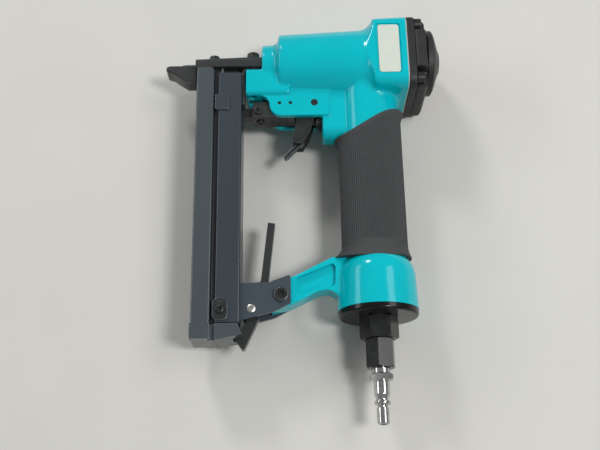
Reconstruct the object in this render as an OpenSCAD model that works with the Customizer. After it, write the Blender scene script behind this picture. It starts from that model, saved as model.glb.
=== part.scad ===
// Pneumatic upholstery stapler with a bottom loading magazine.
// X runs along the drive line from the nose tip to the head cap, the handle and the magazine
// hang towards -Y, and Z = 0 is the mid plane of the tool.

/* [Drive line] */
// Length of the nose in front of the magazine
nose_l = 17.7; // [14:0.1:22]
// Width of the nose
nose_w = 11; // [10.6:0.1:13]
// Depth of the nose behind the front face of the guide, at its root
nose_depth = 10.8; // [9:0.1:13]
// Depth of the nose at its tip
nose_tip_depth = 5; // [4:0.1:7]
// Length of the driver guide between the nose and the body
guide_l = 38.3; // [37.5:0.1:44]
// Width of the driver guide and of its front plate
guide_w = 22; // [21.6:0.1:25]
// Thickness of the driver guide
guide_t = 4.2; // [3:0.1:6]
// Thickness of the front plate
plate_t = 1.8; // [1.2:0.1:3]
// Width of the driver blade, for a staple crown of nine millimetres
blade_w = 9; // [7:0.1:9.4]
// Thickness of the driver blade
blade_t = 0.8; // [0.6:0.05:1.2]
// Clearance round the driver blade
blade_gap = 0.1; // [0.05:0.01:0.2]
// Travel of the piston and the driver
stroke = 42; // [36:0.5:43.5]
// Thread diameter of the screws in the front plate
guide_screw_d = 4; // [3:0.5:4]
// Distance between the two rows of screws in the front plate
guide_screw_pitch = 14.8; // [14.4:0.1:15.2]

/* [Cylinder] */
// Bore of the cylinder sleeve
bore_d = 27; // [24:0.1:29]
// Wall of the cylinder sleeve
sleeve_t = 2; // [1.8:0.1:3]
// Air space round the sleeve
air_gap = 2; // [1.5:0.1:3]
// Length of the piston
piston_l = 6; // [5.5:0.1:8]
// Length of the bumper under the piston
bumper_l = 5.9; // [5.5:0.1:8]
// Thickness of the casting's wall under the bumper
front_wall = 9.5; // [8:0.1:11]
// Lift of the head valve
valve_lift = 2.5; // [1.5:0.1:2.6]
// Radial clearance of sliding fits
slide_fit = 0.05; // [0.02:0.01:0.1]

/* [Body casting] */
// Wall of the barrel at its front end
barrel_wall = 2.5; // [2:0.1:4]
// Growth of the barrel's diameter from its front to the head
barrel_flare = 4; // [1:0.1:5]
// Diameter of the neck in front of the barrel
neck_d = 28; // [25:0.1:32]
// Length of the neck
neck_l = 10; // [8:0.1:12]
// Length of the head block
head_l = 19; // [17:0.1:24]
// Wall of the head block beside its chamber
head_wall = 3.5; // [3:0.1:6]
// Corner radius of the head block
head_r = 7; // [6:0.1:9]
// Width of the nose block
nose_block_w = 23.6; // [20.4:0.1:26]
// Depth of the nose block
nose_block_h = 16.8; // [14:0.1:18]
// Distance between the outer faces of the trigger cheeks
cheek_w = 20; // [19:0.1:23]
// Thickness of each trigger cheek
cheek_t = 3; // [2.5:0.1:3.6]

/* [Handle] */
// Distance from the head's cap face to the handle's axis
handle_set = 21.2; // [20:0.1:25]
// Depth of the handle, along the drive line
handle_w = 33.4; // [31:0.1:38]
// Thickness of the handle
handle_t = 30; // [28:0.1:31]
// Bore of the handle's air passage
handle_bore = 22; // [16:0.1:22.6]
// Thickness of the grip sleeve
grip_t = 1.5; // [1:0.1:2.5]
// Distance from the drive line to the butt's shoulder
butt_y = 118.5; // [112:0.5:122]
// Length of the butt
butt_l = 28.5; // [26:0.5:36]
// Diameter of the butt
butt_d = 43.2; // [41:0.1:48]
// Thickness of the arm that carries the magazine
arm_t = 13; // [10:0.1:15]

/* [Magazine] */
// Width of the magazine
mag_w = 23; // [22:0.1:26]
// Length of the magazine
mag_l = 150; // [140:1:165]
// Height of the slide's side walls
slide_h = 10.1; // [9:0.1:11]
// Height of the groove between slide and channel
groove_h = 2.6; // [2.3:0.1:4]
// Height of the fixed channel
channel_h = 13.1; // [12.5:0.1:15]
// Sheet thickness of slide and channel
sheet_t = 1.5; // [1:0.1:1.8]
// Clearance between slide and channel
track_gap = 0.3; // [0.25:0.05:0.5]
// Length of the slide's end cap
end_cap_l = 8.4; // [6:0.1:9.5]
// Length of the pusher
pusher_l = 12; // [9:0.5:18]
// Curls of the pusher spring
pusher_curls = 40; // [30:1:45]

/* [Brackets and trigger] */
// Thickness of the support strip
strip_t = 1.5; // [1:0.1:2]
// Sheet thickness of brackets and trigger
bracket_t = 1.5; // [1:0.1:1.8]
// Gap beside flat pieces that turn or slide
side_gap = 0.3; // [0.2:0.05:0.5]
// Diameter of the trigger pin
trigger_pin_d = 4; // [3.5:0.1:5]
// Diameter of the two roll pins
roll_pin_d = 2; // [1.6:0.1:2.4]
// Diameter of the rivet that carries the latch
rivet_d = 4; // [3:0.1:4.6]
// Thickness of the latch lever
latch_t = 6; // [4:0.1:8]

/* [Head cap and exhaust] */
// Thickness of the cap's flange
cap_flange = 5; // [4:0.1:7]
// Height of the cap's body above the flange
cap_body = 7.4; // [6:0.1:9]
// Diameter of the exhaust deflector
exhaust_d = 38; // [32:0.1:38.6]
// Height of the exhaust deflector
exhaust_h = 8.4; // [7:0.1:10]
// Offset of the exhaust deflector from the drive line
exhaust_y = 2.6; // [0:0.1:2.8]
// Thread diameter of the cap bolts
cap_bolt_d = 4; // [3:0.5:4.5]

/* [Air inlet] */
// Thickness of the butt's end cap
butt_cap_t = 3.4; // [2.5:0.1:5]
// Width across flats of the inlet bush
bush_af = 18; // [16:0.1:20]
// Length of the inlet bush's hexagon
bush_l = 11.6; // [9:0.1:14]
// Width across flats of the plug adaptor
adaptor_af = 14; // [13:0.1:16]
// Length of the plug adaptor
adaptor_l = 15.2; // [11:0.1:18]
// Diameter of the air plug's tip
plug_tip_d = 6.4; // [6:0.1:7.2]
// Length of the air plug's straight tip
plug_tip_l = 7.5; // [6:0.1:10]

/* [Hidden] */
$fn = 96;

TEAL = [0, 0.66, 0.69];
BLACK = [0.12, 0.12, 0.13];
STEEL = [0.29, 0.31, 0.34];
BRIGHT = [0.8, 0.8, 0.8];
RUBBER = [0.22, 0.22, 0.23];

// A little more than nothing, for cuts that pass a face
over = 1;
// Radial clearance of screws and pins in their holes
pin_fit = 0.05;

// Stations along the drive line
x_neck = nose_l + guide_l;
x_barrel = x_neck + neck_l;
x_seat = x_neck + front_wall;
x_bumper = x_seat + bumper_l;
x_piston = x_bumper + stroke;
x_sleeve = x_piston + piston_l + 1;
x_head = x_sleeve - 1;
x_cap = x_head + head_l;
x_flange = x_cap + cap_flange;
x_dome = x_flange + cap_body;
handle_x = x_cap - handle_set;

// Layers across the drive line
slot_w = blade_w + 2 * blade_gap;
slot_t = blade_t + 2 * blade_gap;
y_face = slot_t / 2;
y_back = y_face - guide_t;
y_front = y_face + plate_t;
y_strip = y_back - strip_t;
y_block = y_strip - nose_block_h;
// Half width of the support strip round its screws
strip_half = guide_screw_pitch / 2 + 3.1;

// Radii in the barrel
sleeve_r = bore_d / 2 + sleeve_t;
air_r = sleeve_r + air_gap;
barrel_r = air_r + barrel_wall;
barrel_end_r = barrel_r + barrel_flare / 2;
chamber_r = air_r + 2;
head_half_w = chamber_r + head_wall;
head_half_h = head_half_w - 0.2;
head_fillet = 6;
ring_t = 1.5;
ring_xs = [x_seat + 4, x_piston - 11.5];
cap_bolt_y = head_half_h - 5.5;
cap_bolt_z = head_half_w - 4.1;

// Magazine stations
x_slide = nose_l + 1;
x_groove = x_slide + slide_h;
x_channel = x_groove + groove_h;
x_top = x_channel + channel_h;
x_strip = x_top + strip_t;
x_block = x_strip + 0.8;
mag_half = mag_w / 2;
y_slide = y_back - side_gap;
y_channel = y_slide - 4;
y_mag_end = y_slide - mag_l;
y_end_cap = y_mag_end - end_cap_l;
lip_in = mag_half - sheet_t - 0.8;
flange_out = lip_in - track_gap;
flange_in = flange_out - 1.2;
bead_out = mag_half - sheet_t - track_gap;
rail_half = blade_w / 2 - 0.9;
rail_top = x_channel + 2.2;
rod_x = x_channel + 6.6;
rod_d = 3;
pusher_half = flange_in - track_gap;
spring_wire = 0.7;
pusher_spring_r = 2.9;

// Trigger group
cheek_out = cheek_w / 2;
cheek_in = cheek_out - cheek_t;
pivot = [handle_x - 31.5, -27];
valve_y = pivot.y - 8;
x_boss = handle_x - 27.2;
y_boss = pivot.y - 20.4;
y_cheek = pivot.y - 8;
trigger_half = cheek_in - side_gap;
safety_pivot = pivot + [-8.2, -21.1];
safety_tip = safety_pivot + [-8.2, -8.9];
pin_xs = [pivot.x - 19.8, pivot.x - 13.6];
bracket_end = pivot.x - 11.2;
bracket_half = cheek_in - 0.2;
lug_half = bracket_half - bracket_t;
stem_d = 3;
bushing_d = 8.4;
x_stem = pivot.x - 1.6;

// Rear bracket and latch
bolt_at = [x_top + 21.5, y_mag_end + 15];
rivet_at = [x_top + 5.7, y_mag_end + 7.8];
arm_half = arm_t / 2;
rear_half = arm_half + 0.1 + bracket_t;
latch_reach = [x_top + 14.4, y_mag_end + 57.2];
hook_tip = [x_top - 3, y_end_cap + 1];
hook_half = latch_t / 2 + 1.6;

// Butt and inlet
y_butt_end = -butt_y - butt_l;
y_butt_cap = y_butt_end - butt_cap_t;
y_bush = y_butt_cap - bush_l;
y_adaptor = y_bush - adaptor_l;
butt_bore = 32;
thread_d = 12;
adaptor_turn = -12;
y_plug_collar = y_adaptor - 2.6;
y_plug_hex = y_adaptor - 6;
y_plug_ring = y_plug_hex - 11.6;
y_plug_neck = y_plug_ring - 1.6;
y_plug_tip = y_plug_neck - 1 - plug_tip_l;
grip_w = handle_w + 2 * grip_t;

// Points of an arc round c, from angle a to angle b
function arc(c, r, a, b, n = 10) = [for (i = [0:n])
    let (t = a + (b - a) * i / n) c + r * [cos(t), sin(t)]];

// Outline of a rectangle with round corners, centred
function round_box(w, h, r) = concat(
    arc([w / 2 - r, h / 2 - r], r, 0, 90), arc([r - w / 2, h / 2 - r], r, 90, 180),
    arc([r - w / 2, r - h / 2], r, 180, 270), arc([w / 2 - r, r - h / 2], r, 270, 360));

// Outline of a slot with half round ends along its first axis
function stadium(w, t) = concat(
    arc([(w - t) / 2, 0], t / 2, -90, 90, 24), arc([(t - w) / 2, 0], t / 2, 90, 270, 24));

module box(low, high) {
    translate(low) cube(high - low);
}

// Outline in Y and Z, drawn out along X
module along_x(from, to, outline) {
    translate([from, 0, 0]) rotate([90, 0, 90]) linear_extrude(to - from) polygon(outline);
}

// Outline in X and Z, drawn out along Y from the upper end to the lower
module along_y(top, low, outline, x = 0) {
    translate([x, top, 0]) rotate([90, 0, 0]) linear_extrude(top - low) polygon(outline);
}

// Outline in X and Y, drawn out along Z
module along_z(low, high, outline) {
    translate([0, 0, low]) linear_extrude(high - low) polygon(outline);
}

module x_rod(d, from, to, y = 0, z = 0) {
    translate([from, y, z]) rotate([0, 90, 0]) cylinder(d = d, h = to - from);
}

module y_rod(d, top, low, x, z = 0, sides = 0) {
    translate([x, top, z]) rotate([90, 0, 0]) cylinder(d = d, h = top - low, $fn = sides == 0 ? $fn : sides);
}

module z_rod(d, low, high, at) {
    translate([at.x, at.y, low]) cylinder(d = d, h = high - low);
}

// Profile of radius and X, turned round the drive line
module turned_x(profile, y = 0) {
    translate([0, y, 0]) rotate([0, 90, 0]) rotate_extrude() polygon(profile);
}

// Profile of radius and depth below the drive line, turned round the handle's axis
module turned_y(profile) {
    translate([handle_x, 0, 0]) rotate([90, 0, 0]) rotate_extrude() polygon(profile);
}

module both_sides() {
    children();
    mirror([0, 0, 1]) children();
}

// Seal ring round the drive line
module x_ring(x, middle_r, t) {
    translate([x, 0, 0]) rotate([0, 90, 0]) rotate_extrude() translate([middle_r, 0]) circle(d = t);
}

// Socket screw along -Y: head above y, thread below it
module y_screw(d, head_d, head_h, length, x, y, z) {
    difference() {
        union() {
            y_rod(head_d, y + head_h, y, x, z);
            y_rod(d, y, y - length, x, z);
        }
        y_rod(d * 0.85, y + head_h + over, y + head_h - d * 0.5, x, z, 6);
    }
}

// Helix of even pitch round Z
function helix(r, height, curls) = [for (i = [0:8 * curls])
    [r * cos(45 * i), r * sin(45 * i), height * i / (8 * curls)]];

// Least gap between neighbouring turns of a wire through the points
function least_gap(points, wire) = min([for (i = [0:len(points) - 6])
    for (j = [i + 5:min(i + 12, len(points) - 1)]) norm(points[i] - points[j]) - wire]);

// Wire swept along a helix: rings of six points that stand across the path
module coil(points, wire) {
    last = len(points) - 1;
    rings = [for (i = [0:last])
        let (ahead = points[min(i + 1, last)] - points[max(i - 1, 0)], t = ahead / norm(ahead),
            out = [points[i].x, points[i].y, 0] / norm([points[i].x, points[i].y, 0]),
            n = out - (out * t) * t, u = n / norm(n), v = cross(t, u))
        for (k = [0:5]) points[i] + wire / 2 * (cos(60 * k) * u + sin(60 * k) * v)];
    sides = [for (i = [0:last - 1], k = [0:5])
        let (a = 6 * i + k, b = 6 * i + (k + 1) % 6) each [[a, a + 6, b], [b, a + 6, b + 6]]];
    ends = [for (k = [1:4]) each [[0, k, k + 1], [6 * last, 6 * last + k + 1, 6 * last + k]]];
    polyhedron(rings, concat(sides, ends));
}

// Outline of the head block and of what sits on it
function head_outline(inset = 0) =
    round_box(2 * (head_half_h - inset), 2 * (head_half_w - inset), head_r - inset);

// Neck and barrel, with the fillet under the head
module barrel() {
    turned_x([[0, x_neck], [neck_d / 2 - 1, x_neck], [neck_d / 2, x_neck + 1], [neck_d / 2 + 1, x_barrel - 3],
        [barrel_r - 1.5, x_barrel - 1], [barrel_r, x_barrel + 1], [barrel_end_r, x_head - head_fillet],
        [barrel_end_r, x_head], [0, x_head]]);
    intersection() {
        turned_x(concat([[0, x_head - head_fillet]],
            arc([barrel_end_r + head_fillet, x_head - head_fillet], head_fillet, 180, 90), [[0, x_head]]));
        along_x(x_head - head_fillet - over, x_head + over, head_outline());
    }
}

// Spaces in the barrel and the head: seats of the sleeve and the air chambers
module barrel_cavity() {
    seat_r = sleeve_r + pin_fit;
    rib = ring_xs[1];
    turned_x([[0, x_seat], [seat_r, x_seat], [seat_r, x_seat + 8], [air_r, x_seat + 10], [air_r, rib - 4.5],
        [seat_r, rib - 2.5], [seat_r, rib + 2.5], [air_r, rib + 4.5], [air_r, x_head - 6],
        [chamber_r, x_head - 4], [chamber_r, x_cap + over], [0, x_cap + over]]);
    x_rod(blade_w + 1.4, x_neck - over, x_seat + over);
}

// Side view of a trigger cheek, with its S-shaped front edge
function cheek_outline() = concat(
    [[x_block + 6, y_block + 4]],
    arc([x_block + 7.5, y_block - 6], 6, 90, 0),
    arc([x_block + 20.5, y_cheek + 7], 7, 180, 270),
    [[x_boss + 4, y_cheek], [x_boss + 4, -air_r + 4], [x_block + 6, -air_r + 4]]);

function handle_outline() = stadium(handle_w, handle_t);

// Handle up to the barrel, and the boss of the trigger valve on its front
module handle_core() {
    along_y(3.5 - air_r, -butt_y - 4, handle_outline(), handle_x);
    along_x(x_boss, handle_x - handle_w / 2 + 6,
        [for (p = round_box(pivot.y - y_boss + 12, 2 * cheek_out - 2.4, 6.5))
            p + [(pivot.y + y_boss + 12) / 2, 0]]);
}

module butt() {
    turned_y(concat([[0, butt_y - 5], [butt_d / 2 - 8, butt_y - 5]],
        arc([butt_d / 2 - 8, butt_y + 8], 8, -90, 0),
        [[butt_d / 2, butt_y + butt_l], [0, butt_y + butt_l]]));
}

// Side view of the arm between the butt and the rear bracket
function arm_outline() = concat(
    [bolt_at + [-5.5, 5.4], bolt_at + [4.8, 9.8], [handle_x - butt_d / 2 - 2.3, 0.6 - butt_y],
        [handle_x - 12, 0.6 - butt_y], [handle_x - 12, -butt_y - 24]],
    arc([handle_x - butt_d / 2 - 6.4, -butt_y - 25.7], 8, 10, 90),
    [bolt_at + [18.5, 1.6], bolt_at + [12, -1.9], bolt_at + [5, -5.2], bolt_at + [-5.5, -7.6]]);

// Sunk panel on each face of the arm
function arm_pocket() =
    let (side = [handle_x - butt_d / 2, -butt_y])
    [bolt_at + [7.8, 9.2], side + [-2.6, -3.2], side + [-1.2, -5.2], side + [-1.4, -14.6], side + [-3.6, -16.2],
        side + [-8.4, -14.9], bolt_at + [10.4, 0.6], bolt_at + [7.6, 1.6]];

nose_screw_x = x_block + 4;
front_screw_x = nose_l + 10.8;
// Floor under the heads of the front screws
y_seat = y_face + plate_t - 0.8;
label_w = 11.9;
label_h = 30.6;
label_x = x_head + 8.9;
label_t = 0.5;
label_sink = 0.7;

module body_casting() {
    color(TEAL) difference() {
        union() {
            barrel();
            along_x(x_head, x_cap, head_outline());
            along_x(x_block, x_barrel + 4, [for (p = round_box(nose_block_h, nose_block_w, 2.5))
                p + [y_strip - nose_block_h / 2, 0]]);
            both_sides() along_z(cheek_in, cheek_out, cheek_outline());
            handle_core();
            butt();
            along_z(-arm_half, arm_half, arm_outline());
        }
        barrel_cavity();
        y_rod(handle_bore, -air_r + 2, y_butt_end - over, handle_x);
        y_rod(butt_bore, y_butt_end + 10, y_butt_end - over, handle_x);
        box([x_block + 7.5, y_boss - over, -cheek_in], [x_boss, y_block, cheek_in]);
        x_rod(bushing_d + 2 * pin_fit, x_boss - over, handle_x, valve_y);
        z_rod(trigger_pin_d + 2 * pin_fit, -head_half_w, head_half_w, pivot);
        for (x = pin_xs) z_rod(roll_pin_d + 2 * pin_fit, -head_half_w, head_half_w, [x, pivot.y]);
        for (z = [-1, 1])
            y_rod(guide_screw_d + 2 * pin_fit, y_strip + over, y_block - over, nose_screw_x,
                z * guide_screw_pitch / 2);
        box([nose_screw_x - 2.5, y_block - over, -3], [nose_screw_x + 3.5, y_block + 6, 3]);
        for (y = [-1, 1], z = [-1, 1])
            x_rod(cap_bolt_d + 2 * pin_fit, x_head + 4, x_cap + over, y * cap_bolt_y, z * cap_bolt_z);
        box([label_x - label_w / 2 - 1.4, -label_h / 2 - 1.1, head_half_w - label_sink],
            [label_x + label_w / 2 + 0.8, label_h / 2 + 0.7, head_half_w + over]);
        z_rod(5 + 2 * pin_fit, -head_half_w, head_half_w, bolt_at);
        both_sides() along_z(arm_half - 1.6, arm_half + over, arm_pocket());
    }
}

module label_plate() {
    color([0.9, 0.9, 0.86]) translate([label_x, 0, head_half_w - label_sink]) linear_extrude(label_t)
        polygon(round_box(label_w, label_h, 1.5));
}

// Line in X and Y along which the rubber meets the casting at the handle's root
function grip_region() = let (low = y_boss - 0.1, rise = 16) concat(
    [[handle_x - 26, low]],
    [for (i = [0:12]) let (s = i / 12)
        [handle_x + grip_w * (1.04 * s - 0.5), low + rise * s * s * (3 - 2 * s)]],
    [[handle_x + 28, low + rise], [handle_x + 28, -butt_y - 12], [handle_x - 26, -butt_y - 12]]);

module grip_sleeve() {
    color(RUBBER) difference() {
        union() {
            intersection() {
                along_y(-air_r - 4, -butt_y, stadium(grip_w, handle_t + 2 * grip_t), handle_x);
                along_z(-head_half_w, head_half_w, grip_region());
            }
            turned_y([[handle_t / 2, butt_y - 6], [handle_t / 2 + grip_t, butt_y - 6],
                [butt_d / 2 - 3.4, butt_y - 2.5], [butt_d / 2 - 1.6, butt_y + 1.4],
                [butt_d / 2 - 1.6, butt_y + 3.4], [handle_t / 2, butt_y + 3.4]]);
        }
        handle_core();
        butt();
        along_z(-arm_half, arm_half, arm_outline());
        y_rod(handle_bore, -air_r, -butt_y - over, handle_x);
    }
}

module cylinder_sleeve() {
    groove = ring_t / 2 + 0.1;
    floor_r = sleeve_r - ring_t;
    color(BRIGHT) turned_x(concat(
        [[bore_d / 2, x_seat], [sleeve_r, x_seat]],
        [for (x = ring_xs) each [[sleeve_r, x - groove], [floor_r, x - groove],
            [floor_r, x + groove], [sleeve_r, x + groove]]],
        [[sleeve_r, x_sleeve - 4], [sleeve_r + 1.5, x_sleeve - 4], [sleeve_r + 1.5, x_sleeve - 1],
            [sleeve_r - 0.6, x_sleeve], [bore_d / 2, x_sleeve]]));
}

module cylinder_o_rings() {
    color(BLACK) for (x = ring_xs) x_ring(x, sleeve_r - ring_t / 2, ring_t);
}

boss_r = blade_w / 2 + 2;
boss_l = bumper_l - 0.9;
module bumper() {
    out_r = bore_d / 2 - 0.2;
    in_r = boss_r + 0.7;
    color(BLACK) turned_x([[in_r, x_seat], [out_r, x_seat], [out_r, x_bumper - 2],
        [out_r - 1, x_bumper - 0.3], [in_r, x_bumper - 0.3]]);
}

piston_r = bore_d / 2 - slide_fit;
piston_ring_t = 2.2;
module piston() {
    x_groove_low = x_piston + piston_l / 2 - piston_ring_t / 2 - 0.1;
    x_groove_high = x_groove_low + piston_ring_t + 0.2;
    x_crown = x_piston + piston_l;
    floor_r = piston_r - piston_ring_t;
    color(BRIGHT) difference() {
        turned_x([[0, x_piston - boss_l], [boss_r, x_piston - boss_l], [boss_r, x_piston],
            [piston_r - 0.6, x_piston], [piston_r, x_piston + 0.6],
            [piston_r, x_groove_low], [floor_r, x_groove_low], [floor_r, x_groove_high],
            [piston_r, x_groove_high],
            [piston_r, x_crown], [piston_r - 4, x_crown], [piston_r - 6, x_crown - 1.5], [0, x_crown - 1.5]]);
        box([x_piston - boss_l - over, -blade_t / 2, -blade_w / 2], [x_piston + 1, blade_t / 2, blade_w / 2]);
        y_rod(2, bore_d, -bore_d, x_piston - 3);
    }
}

module piston_o_ring() {
    color(BLACK) x_ring(x_piston + piston_l / 2, piston_r - piston_ring_t / 2, piston_ring_t);
}

module driver_blade() {
    color(STEEL) difference() {
        box([stroke, -blade_t / 2, -blade_w / 2], [x_piston + 1, blade_t / 2, blade_w / 2]);
        y_rod(2, bore_d, -bore_d, x_piston - 3);
    }
}

module driver_pin() {
    reach = sqrt(boss_r * boss_r - 1) - 0.1;
    color(BRIGHT) y_rod(2, reach, -reach, x_piston - 3);
}

// Head valve: a disc over the sleeve with a skirt that slides in the cap
skirt_r = 11;
x_skirt = x_head + 13;
x_valve = x_sleeve + 0.2;
module head_valve() {
    x_ring_low = x_skirt - 3.6;
    x_ring_high = x_ring_low + 1.8;
    floor_r = skirt_r - 1.6;
    color(BLACK) turned_x([[4, x_valve], [sleeve_r + 1.2, x_valve], [sleeve_r + 1.2, x_valve + 4],
        [skirt_r, x_valve + 5], [skirt_r, x_ring_low], [floor_r, x_ring_low], [floor_r, x_ring_high],
        [skirt_r, x_ring_high], [skirt_r, x_skirt], [skirt_r - 2, x_skirt], [skirt_r - 2.6, x_valve + 4],
        [4, x_valve + 4]]);
}

module head_valve_o_ring() {
    color(BLACK) x_ring(x_skirt - 2.7, skirt_r - 0.8, 1.6);
}

head_spring_points = helix(6.6, x_cap + 1 - (x_valve + 4) - 1.4, 5);
module head_valve_spring() {
    color(BRIGHT) translate([x_valve + 4.7, 0, 0]) rotate([0, 90, 0]) coil(head_spring_points, 1.2);
}

gasket_t = 0.6;
module cap_gasket() {
    color([0.75, 0.75, 0.72]) difference() {
        along_x(x_cap, x_cap + gasket_t, head_outline(0.3));
        x_rod(2 * chamber_r, x_cap - over, x_cap + gasket_t + over);
        for (y = [-1, 1], z = [-1, 1])
            x_rod(cap_bolt_d + 0.4, x_cap - over, x_cap + gasket_t + over, y * cap_bolt_y, z * cap_bolt_z);
    }
}

// Inner cylinder of the cap, in which the head valve's skirt slides
guide_r = skirt_r + slide_fit;
module head_cap() {
    color(BLACK) difference() {
        union() {
            along_x(x_cap + gasket_t, x_flange, head_outline());
            along_x(x_flange, x_dome - 0.6, head_outline(0.6));
            x_rod(exhaust_d + 2, x_dome - 2 - over, x_dome - 0.3, exhaust_y);
            x_rod(2 * guide_r + 4, x_valve + 5 + valve_lift + 0.3, x_cap + 2);
        }
        x_rod(2 * guide_r, x_skirt - 6, x_cap + 1);
        for (a = [45:90:315]) x_rod(5.2, x_cap, x_dome + over, exhaust_y + 7.4 * cos(a), 7.4 * sin(a));
        x_rod(4 + 2 * pin_fit, x_flange, x_dome + over, exhaust_y);
        for (y = [-1, 1], z = [-1, 1]) {
            x_rod(cap_bolt_d + 2 * pin_fit, x_cap - over, x_dome + over, y * cap_bolt_y, z * cap_bolt_z);
            mirror([0, 0, (1 - z) / 2])
                mirror([0, (1 - y) / 2, 0])
                    box([x_flange + 0.2, cap_bolt_y - 5.6, cap_bolt_z - 3.9],
                        [x_dome + over, cap_bolt_y + 3.8, head_half_w + over]);
        }
    }
}

module cap_bolts() {
    head_d = 1.75 * cap_bolt_d;
    thread = cap_flange + head_l - 6;
    color(BLACK) for (y = [-1, 1], z = [-1, 1])
        translate([x_flange + 0.2, y * cap_bolt_y, z * cap_bolt_z]) rotate([0, 90, 0]) difference() {
            union() {
                cylinder(d = head_d, h = cap_bolt_d);
                translate([0, 0, -thread]) cylinder(d = cap_bolt_d, h = thread);
            }
            translate([0, 0, cap_bolt_d / 2]) cylinder(d = 0.85 * cap_bolt_d, h = cap_bolt_d, $fn = 6);
        }
}

module exhaust_seal() {
    color(BLACK) difference() {
        x_rod(exhaust_d - 8, x_dome - 0.3, x_dome, exhaust_y);
        x_rod(22, x_dome - over, x_dome + over, exhaust_y);
    }
}

module exhaust_deflector() {
    r = exhaust_d / 2;
    h = exhaust_h;
    color(BLACK) difference() {
        turned_x(concat([[2.2, x_dome + 0.3], [r, x_dome + 0.3]],
            [for (a = [0:10:70]) [8 + (r - 8) * cos(a), x_dome + 3 + (h - 3) * sin(a)]],
            [[8, x_dome + h], [4.4, x_dome + h], [4.4, x_dome + h - 3], [2.2, x_dome + h - 3]]), exhaust_y);
        turned_x([[6, x_dome], [r - 5, x_dome], [r - 5, x_dome + 3], [9, x_dome + h - 2.4],
            [6, x_dome + h - 2.4]], exhaust_y);
        box([x_dome + 1.4, exhaust_y + 2, -r - over], [x_dome + 3.6, exhaust_y + 10, 0]);
    }
}

module exhaust_screw() {
    color(BLACK) difference() {
        union() {
            x_rod(4, x_flange + 1, x_dome + exhaust_h - 2.8, exhaust_y);
            x_rod(8, x_dome + exhaust_h - 2.8, x_dome + exhaust_h - 0.6, exhaust_y);
        }
        translate([x_dome + exhaust_h - 2, exhaust_y, 0]) rotate([0, 90, 0])
            cylinder(d = 3.4, h = 4, $fn = 6);
    }
}

// Side view of the nose
function nose_outline() = concat(
    [[0, y_face], [nose_l + over, y_face], [nose_l + over, y_back], [nose_l - 0.2, y_back],
        [nose_l - 0.2, y_face - nose_depth], [nose_l - 4, y_face - nose_depth]],
    arc([1.6, y_face - nose_tip_depth], 1.6, 250, 180, 4));

module screw_holes(d, xs) {
    for (x = xs, z = [-1, 1]) y_rod(d, y_front + over, y_strip - over, x, z * guide_screw_pitch / 2);
}

module driver_guide() {
    color(STEEL) difference() {
        union() {
            box([nose_l, y_back, -guide_w / 2], [x_neck, y_face, guide_w / 2]);
            along_z(-nose_w / 2, nose_w / 2, nose_outline());
        }
        box([-over, -slot_t / 2, -slot_w / 2], [x_neck + over, y_face + over, slot_w / 2]);
        box([x_slide + 1, y_back - over, -slot_w / 2], [rail_top + 1.6, 0, slot_w / 2]);
        screw_holes(guide_screw_d + 2 * pin_fit, [front_screw_x, nose_screw_x]);
    }
}

module front_plate() {
    color(STEEL) difference() {
        union() {
            along_z(-guide_w / 2, guide_w / 2, [[nose_l, y_face], [x_neck, y_face], [x_neck, y_front],
                [x_block, y_front], [nose_l, y_face + plate_t - 1]]);
            along_z(0.5 - nose_w / 2, nose_w / 2 - 0.5, [[1, y_face], [nose_l + over, y_face],
                [nose_l + over, y_face + plate_t - 1], [nose_l / 2, y_face + plate_t - 1.1]]);
        }
        screw_holes(guide_screw_d + 2 * pin_fit, [front_screw_x, nose_screw_x]);
        for (z = [-1, 1])
            y_rod(1.5 * guide_screw_d + 0.4, y_front + over, y_seat, front_screw_x, z * guide_screw_pitch / 2);
    }
}

module front_plate_screws() {
    color(BLACK) for (z = [-1, 1])
        y_screw(guide_screw_d, 1.5 * guide_screw_d, 2.8, y_seat - y_back - 0.5, front_screw_x, y_seat,
            z * guide_screw_pitch / 2);
}

module nose_screws() {
    color(BLACK) for (z = [-1, 1])
        y_screw(guide_screw_d, 1.75 * guide_screw_d, guide_screw_d - 0.4, plate_t + guide_t + strip_t + 11,
            nose_screw_x, y_front, z * guide_screw_pitch / 2);
}

module support_strip() {
    color(STEEL) difference() {
        union() {
            box([x_top, y_strip, -strip_half], [x_neck, y_back, strip_half]);
            box([x_top, pivot.y, -guide_w / 2 + 2], [x_strip, y_strip + over, guide_w / 2 - 2]);
        }
        screw_holes(guide_screw_d + 2 * pin_fit, [nose_screw_x]);
    }
}

// Section of the fixed channel in X and Z, one half
function channel_section() = let (inner = mag_half - sheet_t)
    [[x_top, 0], [x_top, mag_half], [x_channel, mag_half], [x_channel, lip_in], [x_channel + 1.2, lip_in],
        [x_channel + 1.2, inner], [x_top - sheet_t, inner], [x_top - sheet_t, 0]];

module magazine_channel() {
    color(STEEL) difference() {
        both_sides() along_y(y_channel, y_mag_end, channel_section());
        z_rod(3 + 2 * pin_fit, 0, mag_half + over, [stop_at.x, stop_at.y]);
    }
}

clip_at = [x_channel + 2.2, y_channel - 19];
module guide_clip() {
    color(STEEL) translate([clip_at.x, clip_at.y, mag_half]) linear_extrude(1)
        polygon(round_box(8, 9.6, 0.8));
}

stop_at = [x_channel + 2.8, y_mag_end + 6.6];
module stop_plate() {
    color(STEEL) difference() {
        translate([stop_at.x, stop_at.y + 0.2, mag_half]) linear_extrude(1) polygon(round_box(8.2, 12.2, 2.8));
        z_rod(3 + 2 * pin_fit, 0, mag_half + 3, stop_at);
        z_rod(1.4, 0, mag_half + 3, stop_at + [0, 4.4]);
    }
}

module stop_screw() {
    color(BLACK) difference() {
        union() {
            z_rod(3, mag_half - sheet_t + 0.1, mag_half + 1, stop_at);
            z_rod(5.2, mag_half + 1, mag_half + 2.4, stop_at);
        }
        translate([stop_at.x, stop_at.y, mag_half + 1.4]) cylinder(d = 2.3, h = 3, $fn = 6);
    }
}

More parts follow.
